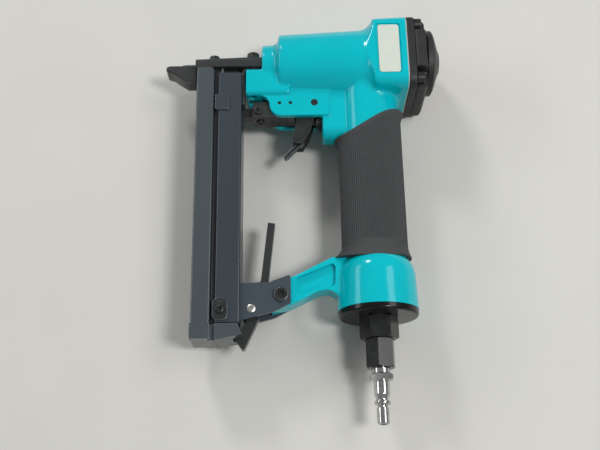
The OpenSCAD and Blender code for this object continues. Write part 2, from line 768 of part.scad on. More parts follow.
module magazine_lug() {
    color(STEEL) difference() {
        union() {
            box([x_top, lug_low, -3], [bracket_x + over, pivot.y, 3]);
            box([bracket_x, lug_low, -lug_half], [x_strip + 11, pivot.y + 0.6, lug_half]);
        }
        z_rod(3 + 2 * pin_fit, -mag_half, mag_half, lug_screw);
        y_rod(2.4 + 2 * pin_fit, pivot.y - 1, bracket_low - over, web_screw_x);
    }
}

lug_screw = [x_strip + 7.4, pivot.y - 3.4];
bracket_x = x_strip + 4.6;
bracket_low = pivot.y - 7;
lug_low = bracket_low + bracket_t;
web_screw_x = lug_screw.x + 1.4;

module front_bracket() {
    flange = [[bracket_x, pivot.y + 2.2], [x_block + 15, pivot.y + 2.2], [x_block + 15, y_block - 0.6],
        [bracket_end, y_block - 0.6], [bracket_end, bracket_low], [bracket_x, bracket_low]];
    color(STEEL) difference() {
        union() {
            both_sides() along_z(lug_half, bracket_half, flange);
            box([bracket_x, bracket_low, -bracket_half], [bracket_end, lug_low, bracket_half]);
        }
        for (x = pin_xs) z_rod(roll_pin_d + 2 * pin_fit, -mag_half, mag_half, [x, pivot.y]);
        z_rod(3 + 2 * pin_fit, -mag_half, mag_half, lug_screw);
        y_rod(2.4 + 2 * pin_fit, pivot.y, bracket_low - over, web_screw_x);
    }
}

module bracket_screws() {
    color(BLACK) both_sides() difference() {
        union() {
            z_rod(3, 2.2, bracket_half, lug_screw);
            z_rod(4.4, bracket_half, bracket_half + 1.2, lug_screw);
        }
        translate([lug_screw.x, lug_screw.y, bracket_half + 0.4]) cylinder(d = 2.3, h = 3, $fn = 6);
    }
    color(BLACK) difference() {
        union() {
            y_rod(2.4, pivot.y - 1.4, bracket_low - 0.5, web_screw_x);
            y_rod(4.4, bracket_low, bracket_low - 1.4, web_screw_x);
        }
        y_rod(2.3, bracket_low - 0.5, bracket_low - 3, web_screw_x, 0, 6);
    }
}

module roll_pins() {
    color(BLACK) for (x = pin_xs) z_rod(roll_pin_d, 0.4 - cheek_out, cheek_out - 0.4, [x, pivot.y]);
}

// Section of the slide in X and Z, one half: base, wall, step inwards, flange and its bead
function slide_section() = let (inner = mag_half - sheet_t)
    [[x_slide, 0], [x_slide, mag_half], [x_groove, mag_half], [x_groove, flange_out],
        [x_channel + 1.5, flange_out], [x_channel + 1.5, bead_out], [x_channel + 2.7, bead_out],
        [x_channel + 2.7, flange_in], [x_groove - sheet_t, flange_in], [x_groove - sheet_t, inner],
        [x_slide + sheet_t, inner], [x_slide + sheet_t, 0]];

module slide_channel() {
    color(STEEL) both_sides() along_y(y_slide, y_mag_end, slide_section());
}

module core_rail() {
    color(BRIGHT) box([x_slide + sheet_t, y_mag_end, -rail_half], [rail_top, y_slide, rail_half]);
}

module slide_end_cap() {
    right = [[x_channel, y_mag_end - 0.4], [x_top - 1.2, y_mag_end - 0.4], [x_top + 1.1, y_end_cap + 2],
        [x_channel, y_end_cap - 0.9]];
    color(STEEL) difference() {
        union() {
            box([x_slide - 0.4, y_end_cap, -mag_half], [x_groove, y_mag_end, mag_half]);
            box([x_groove - over, y_end_cap - 0.6, -flange_out],
                [x_channel + over, y_mag_end - 0.4, flange_out]);
            along_z(-mag_half, mag_half, right);
        }
        box([hook_tip.x - 0.9, y_end_cap - 6, -hook_half], [x_top + 3, y_mag_end + over, hook_half]);
        y_rod(rod_d + 2 * pin_fit, y_mag_end + over, y_mag_end - 5, rod_x);
    }
}

module spring_rod() {
    color(BRIGHT) y_rod(rod_d, y_slide - 3, y_mag_end - 4.8, rod_x);
}

module pusher() {
    gap = 0.3;
    color(BLACK) difference() {
        box([x_slide + sheet_t + 0.8, y_slide - 0.4 - pusher_l, -pusher_half],
            [rod_x + 4.3, y_slide - 0.4, pusher_half]);
        box([x_slide, y_slide - pusher_l - 2, -rail_half - gap],
            [rail_top + gap, y_slide + over, rail_half + gap]);
        y_rod(rod_d + 2 * slide_fit, y_slide + over, y_slide - pusher_l - 2, rod_x);
    }
}

y_pusher = y_slide - 0.4 - pusher_l;
pusher_points = helix(pusher_spring_r, y_pusher - y_mag_end - 0.4 - spring_wire, pusher_curls);
module pusher_spring() {
    color(BRIGHT) translate([rod_x, y_pusher - spring_wire / 2, 0]) rotate([90, 0, 0])
        coil(pusher_points, spring_wire);
}

module rear_bracket() {
    side = [[x_top, bolt_at.y + 6.6], bolt_at + [-6, 7], bolt_at + [3.8, 10.7], bolt_at + [5, 9.8],
        bolt_at + [5, -4.4], bolt_at + [-4, -9], [x_top, y_mag_end + 1.6]];
    color(STEEL) difference() {
        union() {
            both_sides() along_z(rear_half - bracket_t, rear_half, side);
            box([x_top, y_mag_end + 1.6, -rear_half], [x_top + bracket_t, bolt_at.y + 6.6, rear_half]);
        }
        z_rod(5 + 2 * pin_fit, -mag_half, mag_half, bolt_at);
        z_rod(rivet_d + 2 * pin_fit, -mag_half, mag_half, rivet_at);
    }
}

module rear_bolt() {
    color(BLACK) difference() {
        union() {
            z_rod(5, -rear_half - 4.4, rear_half, bolt_at);
            z_rod(8, rear_half, rear_half + 2.6, bolt_at);
        }
        translate([bolt_at.x, bolt_at.y, rear_half + 1]) cylinder(d = 3.5, h = 4, $fn = 6);
    }
}

module rear_nut() {
    color(BLACK) difference() {
        translate([bolt_at.x, bolt_at.y, -rear_half - 4]) cylinder(d = 9.2, h = 4, $fn = 6);
        z_rod(5 + 2 * pin_fit, -mag_half - 8, 0, bolt_at);
    }
}

module latch_rivet() {
    color(BRIGHT) union() {
        z_rod(rivet_d, -rear_half, rear_half, rivet_at);
        both_sides() z_rod(rivet_d + 1, rear_half, rear_half + 0.6, rivet_at);
    }
}

module latch_lever() {
    arm = [latch_reach, latch_reach + [3.9, -0.6], rivet_at + [8.9, 16.3], rivet_at + [3.4, -1.6],
        rivet_at + [-2.4, 2.8], rivet_at + [4.9, 16.6]];
    hook = [rivet_at + [-3.4, 1.2], rivet_at + [3.6, 1.2], rivet_at + [3.8, -4.2], hook_tip + [5, -5],
        hook_tip + [3.6, -5.2], hook_tip, rivet_at + [-2.8, -5]];
    color(STEEL) difference() {
        union() {
            along_z(-latch_t / 2, latch_t / 2, arm);
            along_z(-latch_t / 2, latch_t / 2, hook);
            z_rod(7.2, -latch_t / 2, latch_t / 2, rivet_at);
        }
        z_rod(rivet_d + 2 * slide_fit, -mag_half, mag_half, rivet_at);
    }
}

latch_spring_points = helix(rivet_d / 2 + 0.9, rear_half - bracket_t - latch_t / 2 - 1, 2);
module latch_spring() {
    color(BRIGHT) translate([rivet_at.x, rivet_at.y, latch_t / 2 + 0.5]) coil(latch_spring_points, 0.6);
}

// Corners of the trigger, from its pivot
trigger_bend = pivot + [-10.3, -8.2];
trigger_low = pivot + [-12.7, -23.4];
module trigger() {
    flange = [pivot + [-5.6, 3.2], pivot + [3.6, 3.2], pivot + [3.6, -3], pivot + [-0.2, -8],
        pivot + [-3, -17.1], pivot + [-6.8, -23.4], trigger_low, trigger_bend];
    web = [trigger_bend, trigger_bend + [bracket_t, 0], trigger_low + [bracket_t + 0.4, 3],
        trigger_low + [0.4, 3]];
    x_pad = x_stem - 0.1;
    pad = [[x_pad - bracket_t, pivot.y - 4], [x_pad, pivot.y - 4], [x_pad, valve_y - 3.6],
        [x_pad - bracket_t, valve_y - 3.6]];
    color(BLACK) difference() {
        union() {
            both_sides() along_z(trigger_half - bracket_t, trigger_half, flange);
            along_z(-trigger_half, trigger_half, web);
            along_z(-trigger_half, trigger_half, pad);
        }
        z_rod(trigger_pin_d + 2 * slide_fit, -mag_half, mag_half, pivot);
        z_rod(2 + 2 * pin_fit, -mag_half, mag_half, safety_pivot);
    }
}

module trigger_pin() {
    color(BLACK) z_rod(trigger_pin_d, -cheek_out - 0.3, cheek_out + 0.3, pivot);
}

module safety_lever() {
    way = (safety_tip - safety_pivot) / norm(safety_tip - safety_pivot);
    side = 1.25 * [way.y, -way.x];
    color(BLACK) difference() {
        union() {
            along_z(-1.5, 1.5,
                [safety_pivot + side, safety_tip + side, safety_tip - side, safety_pivot - side]);
            z_rod(4.4, -1.5, 1.5, safety_pivot);
            z_rod(2.5, -1.5, 1.5, safety_tip);
        }
        z_rod(2 + 2 * slide_fit, -mag_half, mag_half, safety_pivot);
    }
}

module safety_pin() {
    color(BLACK) z_rod(2, -trigger_half, trigger_half, safety_pivot);
}

x_bushing = x_boss - 3.4;
x_stem_head = handle_x - handle_bore / 2 + 1.5;
module valve_bushing() {
    color(BLACK) difference() {
        union() {
            x_rod(bushing_d, x_bushing, x_stem_head - 1.4, valve_y);
            x_rod(bushing_d + 2, x_boss - 1.6, x_boss, valve_y);
        }
        x_rod(stem_d + 2 * slide_fit, x_bushing - over, x_stem_head, valve_y);
    }
}

module valve_stem() {
    color(BRIGHT) union() {
        x_rod(stem_d, x_stem, x_stem_head, valve_y);
        x_rod(stem_d + 3.4, x_stem_head, x_stem_head + 1.6, valve_y);
        x_rod(stem_d - 0.8, x_stem_head + 1.6, x_stem_head + 5, valve_y);
    }
}

module valve_o_ring() {
    color(BLACK) translate([x_stem_head - 0.7, valve_y, 0]) rotate([0, 90, 0]) rotate_extrude()
        translate([stem_d / 2 + 0.1 + 0.6, 0]) circle(d = 1.2);
}

valve_spring_l = handle_bore - 1.5 - 1.6 - 1.4;
valve_spring_points = helix(2.4, valve_spring_l, 7);
module valve_spring() {
    color(BRIGHT) translate([x_stem_head + 2, valve_y, 0]) rotate([0, 90, 0]) coil(valve_spring_points, 0.6);
}

module butt_cap() {
    color(BLACK) difference() {
        union() {
            turned_y([[0, -y_butt_end], [butt_d / 2 - 0.2, -y_butt_end],
                [butt_d / 2 - 0.2, -y_butt_cap - 1.2], [butt_d / 2 - 1.6, -y_butt_cap], [0, -y_butt_cap]]);
            y_rod(butt_bore - 2 * pin_fit, y_butt_end + 7, y_butt_end - over, handle_x);
        }
        y_rod(thread_d + 2 * pin_fit, 0, y_butt_cap - over, handle_x);
    }
}

module butt_cap_seal() {
    color(BLACK) translate([handle_x, y_butt_end + 8.2, 0]) rotate([90, 0, 0]) rotate_extrude()
        translate([butt_bore / 2 - 1.2, 0]) circle(d = 2);
}

// Width across corners of a hexagon
function corners(af) = af / cos(30);

module inlet_bush() {
    r = corners(bush_af) / 2;
    color(BLACK) difference() {
        union() {
            intersection() {
                y_rod(2 * r, y_butt_cap, y_bush, handle_x, 0, 6);
                turned_y([[0, -y_butt_cap], [r - 0.6, -y_butt_cap], [r, -y_butt_cap + 1], [r, -y_bush - 1],
                    [r - 1, -y_bush], [0, -y_bush]]);
            }
            y_rod(thread_d, y_butt_end + 6, y_butt_cap - over, handle_x);
        }
        y_rod(7, 0, y_bush - over, handle_x);
        y_rod(9, y_bush + 7, y_bush - over, handle_x);
    }
}

module plug_adaptor() {
    r = corners(adaptor_af) / 2;
    color(BLACK) translate([handle_x, 0, 0]) rotate([0, adaptor_turn, 0]) translate([-handle_x, 0, 0]) difference() {
        union() {
            intersection() {
                translate([handle_x, 0, 0]) rotate([0, 30, 0]) y_rod(2 * r, y_bush, y_adaptor, 0, 0, 6);
                turned_y([[0, -y_bush], [r, -y_bush], [r, -y_adaptor - 1.2], [r - 1.2, -y_adaptor],
                    [0, -y_adaptor]]);
            }
            y_rod(9 - 2 * pin_fit, y_bush + 6.6, y_bush - over, handle_x);
        }
        y_rod(5.6, y_bush + 20, y_adaptor - over, handle_x);
        y_rod(9, y_adaptor + 7, y_adaptor - over, handle_x);
    }
}

// Chrome plug: thread, hexagon, body, ring and straight tip, with its air hole
module air_plug() {
    tip_r = plug_tip_d / 2;
    color(BRIGHT) difference() {
        union() {
            turned_y([[0, -y_adaptor - 6.6], [4.5 - pin_fit, -y_adaptor - 6.6], [4.5 - pin_fit, -y_adaptor],
                [4.9, -y_adaptor], [4.9, -y_plug_hex], [4.1, -y_plug_hex], [4.1, -y_plug_hex + 7.4],
                [3.2, -y_plug_hex + 9.4], [3.2, -y_plug_ring - 1], [4.2, -y_plug_ring - 0.8],
                [4.2, -y_plug_ring + 0.8], [tip_r - 0.6, -y_plug_neck], [tip_r - 0.6, -y_plug_neck + 0.6],
                [tip_r, -y_plug_neck + 1], [tip_r, -y_plug_tip], [tip_r - 0.8, -y_plug_tip + 0.8],
                [0, -y_plug_tip + 0.8]]);
            y_rod(corners(11.4), y_plug_collar, y_plug_hex, handle_x, 0, 6);
        }
        y_rod(3.6, y_adaptor + 12, y_plug_tip - 4, handle_x);
    }
}

echo(least_spring_gap = [for (s = [[pusher_points, spring_wire], [head_spring_points, 1.2],
    [valve_spring_points, 0.6], [latch_spring_points, 0.6]]) least_gap(s[0], s[1])]);

body_casting();
label_plate();
grip_sleeve();
cylinder_sleeve();
cylinder_o_rings();
bumper();
piston();
piston_o_ring();
driver_blade();
driver_pin();
head_valve();
head_valve_o_ring();
head_valve_spring();
cap_gasket();
head_cap();
cap_bolts();
exhaust_seal();
exhaust_deflector();
exhaust_screw();
driver_guide();
front_plate();
front_plate_screws();
nose_screws();
support_strip();
magazine_channel();
guide_clip();
stop_plate();
stop_screw();
magazine_lug();
front_bracket();
bracket_screws();
roll_pins();
slide_channel();
core_rail();
slide_end_cap();
spring_rod();
pusher();
pusher_spring();
rear_bracket();
rear_bolt();
rear_nut();
latch_rivet();
latch_lever();
latch_spring();
trigger();
trigger_pin();
safety_lever();
safety_pin();
valve_bushing();
valve_stem();
valve_o_ring();
valve_spring();
butt_cap();
butt_cap_seal();
inlet_bush();
plug_adaptor();
air_plug();
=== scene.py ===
"""Pneumatic upholstery stapler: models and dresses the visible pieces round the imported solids.

Sizes are in millimetres in the frame of the solids: X runs along the drive from the nose to the head,
Y to the tool's front and Z to the near side. Stations on the handle's axis count downwards, against Y.
"""

from __future__ import annotations

import logging
import math
from collections.abc import Callable, Iterator, Mapping, Sequence
from contextlib import contextmanager
from dataclasses import dataclass
from enum import Enum
from typing import Any

import bmesh
import bpy
from mathutils import Matrix, Vector

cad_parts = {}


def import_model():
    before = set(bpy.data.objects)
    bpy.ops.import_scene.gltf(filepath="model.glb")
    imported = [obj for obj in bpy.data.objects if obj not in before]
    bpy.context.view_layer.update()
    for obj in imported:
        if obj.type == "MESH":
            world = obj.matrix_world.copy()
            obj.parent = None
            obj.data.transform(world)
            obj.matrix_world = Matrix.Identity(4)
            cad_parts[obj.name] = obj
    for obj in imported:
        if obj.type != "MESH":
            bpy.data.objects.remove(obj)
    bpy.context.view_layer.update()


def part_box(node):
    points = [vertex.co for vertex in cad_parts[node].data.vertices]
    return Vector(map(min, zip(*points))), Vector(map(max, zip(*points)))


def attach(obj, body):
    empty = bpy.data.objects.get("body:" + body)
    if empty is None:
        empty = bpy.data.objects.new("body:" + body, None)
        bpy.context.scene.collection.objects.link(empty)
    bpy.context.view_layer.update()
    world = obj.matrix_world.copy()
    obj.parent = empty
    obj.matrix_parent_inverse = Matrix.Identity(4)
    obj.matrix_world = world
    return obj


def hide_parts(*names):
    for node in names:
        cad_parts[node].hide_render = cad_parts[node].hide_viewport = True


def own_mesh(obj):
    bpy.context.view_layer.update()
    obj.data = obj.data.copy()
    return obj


LOG = logging.getLogger("stapler")
MM = 0.001
ORIGIN = (0.0, 0.0, 0.0)
# Straight through to the far side; a hair off Z, so that the half turn has an axis
FAR_SIDE = (0.0, 0.0001, -1.0)
# How far solids reach into each other before they are joined, and cutters past what they cut, in mm
LAP, PAST = 1.0, 30.0
# Facets of a plain hole and of a large round
ROD_FACETS, FINE_FACETS = 40, 96
# Size in metres of a primitive before its corners are laid on their places
SEED = 0.01
# Distance in metres at which corners are one: in a new mesh, and in the mesh of a solid
SAME, SOLID_SAME = 1e-7, 2e-6
# Turn in degrees below which an outline runs straight, and the faces of a solid are one
STRAIGHT, FLAT = 3.0, 1.0
# Share of an edge that a softened corner may take
EDGE_SHARE = 0.45
# Range of the noise over which the clouds fade in, and over which the gloss changes
CLOUD_RANGE, GLOSS_RANGE = (0.35, 0.65), (0.3, 0.7)
# Octaves of the noise in the clouds and in the grain
CLOUD_DETAIL, GRAIN_DETAIL = 4.0, 3.0

Point2 = tuple[float, float]
Point3 = tuple[float, float, float]
Colour = tuple[float, float, float, float]


class Plane(Enum):
    """The plane that an outline is drawn in: its two axes, and the axis it is drawn out along."""

    XY = (0, 1, 2)
    XZ = (0, 2, 1)
    YZ = (1, 2, 0)

    def point(self, across: float, up: float, depth: float) -> Vector:
        """Gives the place, in metres, of a point drawn in this plane in millimetres."""
        place = Vector((0.0, 0.0, 0.0))
        for axis, value in zip(self.value, (across, up, depth)):
            place[axis] = value * MM
        return place


class Axis(Enum):
    """An axis that pieces are turned round: the way its stations count, and where a radius starts."""

    DRIVE = ((1, 0, 0), (0, 0, 1))
    HANDLE = ((0, -1, 0), (0, 0, 1))
    ACROSS = ((0, 0, 1), (1, 0, 0))


class Head(Enum):
    """The heads of the tool's screws."""

    CAP = "cap"
    BUTTON = "button"


class Cut(Enum):
    """What a boolean does with its second solid."""

    TAKE = "DIFFERENCE"
    ADD = "UNION"
    KEEP = "INTERSECT"


def arc(centre: Point2, radius: float, start: float, end: float, steps: int = 8) -> list[Point2]:
    """Gives the points of an arc.

    Args:
        centre: Middle of the arc, in millimetres.
        radius: Radius of the arc, in millimetres.
        start: Angle of the first point, in degrees.
        end: Angle of the last point, in degrees.
        steps: Number of chords.

    Returns:
        The points in order.
    """
    angles = [math.radians(start + (end - start) * i / steps) for i in range(steps + 1)]
    return [(centre[0] + radius * math.cos(a), centre[1] + radius * math.sin(a)) for a in angles]


def hexagon_points(centre: Point2, radius: float, turn: float = 0.0) -> list[Point2]:
    """Gives the six corners of a hexagon that is turned by an angle in degrees."""
    return arc(centre, radius, turn, turn + 300, 5)


def round_box(
    width: float, height: float, radius: float, at: Point2 = (0.0, 0.0), steps: int = 6
) -> list[Point2]:
    """Gives the outline of a rectangle with round corners.

    Args:
        width: Size along the first axis.
        height: Size along the second axis.
        radius: Radius of its corners.
        at: Middle of the rectangle.
        steps: Chords in each corner.

    Returns:
        The points, counter-clockwise.
    """
    across, up = width / 2 - radius, height / 2 - radius
    points: list[Point2] = []
    for turn, (side, level) in enumerate(((1, 1), (-1, 1), (-1, -1), (1, -1))):
        corner = (at[0] + side * across, at[1] + level * up)
        points += arc(corner, radius, 90 * turn, 90 * turn + 90, steps)
    return points


def soften(points: Sequence[Point2], radius: float, steps: int = 5) -> list[Point2]:
    """Rounds every corner of a closed outline.

    Args:
        points: Corners of the outline.
        radius: Radius that each corner gets where its edges are long enough.
        steps: Chords in each corner.

    Returns:
        The softened outline.
    """
    soft: list[Point2] = []
    for i, corner in enumerate(points):
        here = Vector(corner)
        back = Vector(points[i - 1]) - here
        ahead = Vector(points[(i + 1) % len(points)]) - here
        turn = back.angle(ahead)
        if math.pi - turn < math.radians(STRAIGHT):
            soft.append(corner)
            continue
        reach = min(radius / math.tan(turn / 2), EDGE_SHARE * min(back.length, ahead.length))
        first, last = here + back.normalized() * reach, here + ahead.normalized() * reach
        for step in range(steps + 1):
            t = step / steps
            spot = first * (1 - t) ** 2 + here * (2 * t * (1 - t)) + last * t * t
            soft.append((spot.x, spot.y))
    return soft


def mix(a: float, b: float, share: float) -> float:
    """Goes from one number to another by a share."""
    return a + (b - a) * share


def box_mm(node: str) -> tuple[Vector, Vector]:
    """Gives the lowest and highest corner of a CAD node in millimetres."""
    low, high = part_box(node)
    return low / MM, high / MM


def linear(colour: str) -> Colour:
    """Turns an sRGB hex colour such as #1a2b3c into the linear colour that shaders take."""
    levels = [int(colour[i : i + 2], 16) / 255 for i in (1, 3, 5)]
    red, green, blue = (v / 12.92 if v <= 0.04045 else ((v + 0.055) / 1.055) ** 2.4 for v in levels)
    return red, green, blue, 1.0


def add_node(
    tree: bpy.types.NodeTree,
    kind: str,
    settings: Mapping[str, Any] | None = None,
    links: Mapping[str, bpy.types.NodeSocket] | None = None,
) -> bpy.types.Node:
    """Adds a node to a material.

    Args:
        tree: Node tree of the material.
        kind: Blender's name for the node type.
        settings: Values of its input sockets, or else of its own properties.
        links: Output sockets that feed its input sockets.

    Returns:
        The new node.
    """
    node = tree.nodes.new(kind)
    for key, value in (settings or {}).items():
        if key in node.inputs:
            node.inputs[key].default_value = value
        else:
            setattr(node, key, value)
    for key, source in (links or {}).items():
        tree.links.new(source, node.inputs[key])
    return node


@dataclass(frozen=True)
class Finish:
    """A surface: its colours, its gloss and the relief that its making left on it."""

    name: str
    colour: str
    tint: str
    roughness: float
    metallic: float = 0.0
    cloud_mm: float = 12.0
    cloud: float = 0.3
    grain_mm: float = 0.8
    relief_mm: float = 0.01
    drawn: Point3 = (1.0, 1.0, 1.0)
    gloss_spread: float = 0.05
    coat: float = 0.0
    coat_roughness: float = 0.05
    ior: float = 1.5

    def material(self) -> bpy.types.Material:
        """Builds the material, or finds it again.

        Returns:
            The material, with clouds of its second colour, uneven gloss and a fine relief.
        """
        known = bpy.data.materials.get(self.name)
        if known:
            return known
        material = bpy.data.materials.new(self.name)
        material.use_nodes = True
        tree = material.node_tree
        tree.nodes.clear()
        place = add_node(tree, "ShaderNodeTexCoord")
        drawn = add_node(
            tree, "ShaderNodeMapping", {"Scale": self.drawn}, {"Vector": place.outputs["Object"]},
        )
        clouds = add_node(
            tree, "ShaderNodeTexNoise", {"Scale": 1 / (self.cloud_mm * MM), "Detail": CLOUD_DETAIL},
            {"Vector": drawn.outputs["Vector"]},
        )
        share = add_node(
            tree, "ShaderNodeMapRange",
            {"From Min": CLOUD_RANGE[0], "From Max": CLOUD_RANGE[1], "To Max": self.cloud},
            {"Value": clouds.outputs["Fac"]},
        )
        tone = add_node(
            tree, "ShaderNodeMixRGB", {"Color1": linear(self.colour), "Color2": linear(self.tint)},
            {"Fac": share.outputs["Result"]},
        )
        gloss = add_node(
            tree, "ShaderNodeMapRange",
            {"From Min": GLOSS_RANGE[0], "From Max": GLOSS_RANGE[1],
             "To Min": self.roughness - self.gloss_spread, "To Max": self.roughness + self.gloss_spread},
            {"Value": clouds.outputs["Fac"]},
        )
        grain = add_node(
            tree, "ShaderNodeTexNoise", {"Scale": 1 / (self.grain_mm * MM), "Detail": GRAIN_DETAIL},
            {"Vector": drawn.outputs["Vector"]},
        )
        relief = add_node(
            tree, "ShaderNodeBump", {"Strength": 1.0, "Distance": self.relief_mm * MM},
            {"Height": grain.outputs["Fac"]},
        )
        settings: dict[str, Any] = {
            "Metallic": self.metallic, "Coat Weight": self.coat, "Coat Roughness": self.coat_roughness,
        }
        if not self.metallic:
            settings["IOR"] = self.ior
        shader = add_node(
            tree, "ShaderNodeBsdfPrincipled", settings,
            {"Base Color": tone.outputs["Color"], "Roughness": gloss.outputs["Result"],
             "Normal": relief.outputs["Normal"]},
        )
        add_node(tree, "ShaderNodeOutputMaterial", None, {"Surface": shader.outputs["BSDF"]})
        return material

    def dress(self, *nodes: str) -> None:
        """Gives this finish to CAD nodes that are shown as they are."""
        for name in nodes:
            solid = bpy.data.objects[name]
            solid.data.materials.clear()
            solid.data.materials.append(self.material())
            LOG.info("dressed %s with %s", name, self.name)


# Baked enamel over a die casting: wet gloss, slight orange peel a millimetre and a half across
ENAMEL = Finish("baked_enamel_on_die_casting", "#00bac5", "#00b0bb", 0.14, cloud_mm=30, cloud=0.5,
                grain_mm=1.6, relief_mm=0.01, gloss_spread=0.03, coat=0.1, coat_roughness=0.04, ior=1.32)
# Moulded rubber: dull, with a dusty bloom and a fine matt texture from the mould
RUBBER = Finish("moulded_rubber", "#393b3c", "#484a4a", 0.74, cloud_mm=6, cloud=0.35,
                grain_mm=0.35, relief_mm=0.03)
# Glass filled nylon: matt black with a faint speckle
NYLON = Finish("moulded_black_nylon", "#1c1d1e", "#2a2b2c", 0.5, cloud_mm=4, cloud=0.4,
               grain_mm=0.4, relief_mm=0.02)
# Phosphated sheet steel: blue grey, satin, rolled lengthwise so that the streaks run along Y
SHEET = Finish("phosphated_sheet_steel", "#434b52", "#394148", 0.28, metallic=0.35, cloud_mm=9, cloud=0.6,
               grain_mm=0.3, relief_mm=0.006, drawn=(1.0, 0.12, 1.0))
# The same sheet where it slides and is rubbed a little paler
SLIDE = Finish("rubbed_sheet_steel", "#545c60", "#495155", 0.27, metallic=0.35, cloud_mm=9, cloud=0.6,
               grain_mm=0.3, relief_mm=0.006, drawn=(1.0, 0.12, 1.0))
# The same sheet in the groove between slide and channel, painted dark: painted shade in the recess
GROOVE_SHADE = Finish("oiled_sheet_steel", "#191c1f", "#22262a", 0.35, metallic=0.2, cloud_mm=6, cloud=0.5,
               grain_mm=0.3, relief_mm=0.006, drawn=(1.0, 0.12, 1.0))
# Black oxide on machined steel: near black with an oily sheen
OXIDE = Finish("black_oxide_steel", "#2b2c2c", "#383939", 0.28, metallic=0.25, cloud_mm=3, cloud=0.5,
               grain_mm=0.25, relief_mm=0.006)
# Blackened pressed steel: satin black sheet
PRESSED = Finish("blackened_pressed_steel", "#2d2f2f", "#393b3b", 0.3, metallic=0.3, cloud_mm=5, cloud=0.5,
                 grain_mm=0.3, relief_mm=0.008)
# Blackened steel of the nose, the front bracket and the latch: rubbed to a dark grey
RUBBED = Finish("rubbed_black_steel", "#3b3d3d", "#2f3131", 0.3, metallic=0.3, cloud_mm=5, cloud=0.5,
                grain_mm=0.3, relief_mm=0.008)
# Paler finish on the rounded edges of the steel pieces: painted edge highlights where the lamps catch them
EDGE_HIGHLIGHT = Finish("rubbed_steel_edge", "#70777b", "#565c60", 0.26, metallic=0.6, cloud_mm=4, cloud=0.7,
              grain_mm=0.3, relief_mm=0.004)
# Blued pressed steel of the rear bracket: satin slate grey
BLUED = Finish("blued_pressed_steel", "#4c565e", "#424c54", 0.28, metallic=0.35, cloud_mm=6, cloud=0.5,
               grain_mm=0.3, relief_mm=0.007)
# Black lacquer on the turned butt cap: deep and glossy
LACQUER = Finish("black_lacquered_fitting", "#0d0e0f", "#17181a", 0.2, cloud_mm=4, cloud=0.4,
                 grain_mm=0.6, relief_mm=0.004, ior=1.3, coat=0.15, coat_roughness=0.05)
# Black finish of the turned inlet fittings: darker than the plates, with a soft gloss
FITTING = Finish("blackened_brass_fitting", "#232424", "#2d2e2e", 0.22, metallic=0.25, cloud_mm=4, cloud=0.4,
                 grain_mm=0.5, relief_mm=0.004)
# Bright chrome plate over turned steel, with tool marks round the axis
CHROME = Finish("chrome_plated_steel", "#cdcdcb", "#a3a3a1", 0.1, metallic=1.0, cloud_mm=3, cloud=0.5,
                grain_mm=0.25, relief_mm=0.002, drawn=(0.3, 1.0, 0.3))
# Zinc plated rivet: pale grey metal, soft gloss
ZINC = Finish("zinc_plated_rivet", "#c9c7c0", "#a5a49e", 0.34, metallic=1.0, cloud_mm=1.5, cloud=0.6,
              grain_mm=0.3, relief_mm=0.01)
# Plastic film of the bare plate: off white, soft gloss
FILM = Finish("bare_label_film", "#d3d9cd", "#c8cec2", 0.35, cloud_mm=8, cloud=0.4,
              grain_mm=1.2, relief_mm=0.004)
# Pressed fibre gasket: pale grey, fibrous
FIBRE = Finish("pressed_fibre_gasket", "#c4c3bb", "#a9a8a0", 0.8, cloud_mm=1.5, cloud=0.6,
               grain_mm=0.4, relief_mm=0.03)
# Ground tool steel of the inner works: bright, with fine marks along the drive
STEEL = Finish("ground_tool_steel", "#a9abad", "#8b8d90", 0.3, metallic=1.0, cloud_mm=3, cloud=0.5,
               grain_mm=0.2, relief_mm=0.004, drawn=(0.2, 1.0, 1.0))
# Turned and anodised alloy of piston and sleeve: pale, soft gloss
ALLOY = Finish("turned_anodised_alloy", "#b4b6b8", "#9c9ea1", 0.36, metallic=1.0, cloud_mm=4, cloud=0.5,
               grain_mm=0.25, relief_mm=0.005, drawn=(1.0, 0.2, 0.2))
# Nitrile seals: dull black
NITRILE = Finish("nitrile_seal", "#1a1a1a", "#262626", 0.6, cloud_mm=2, cloud=0.4,
                 grain_mm=0.3, relief_mm=0.01)
# Plain studio paper: pale and matt
PAPER = Finish("pale_studio_paper", "#d2d0ca", "#cbc9c3", 0.85, cloud_mm=60, cloud=0.3,
               grain_mm=0.8, relief_mm=0.01)


def deselect_all() -> None:
    """Leaves nothing selected, so that an operator acts on one piece only."""
    bpy.ops.object.select_all(action="DESELECT")


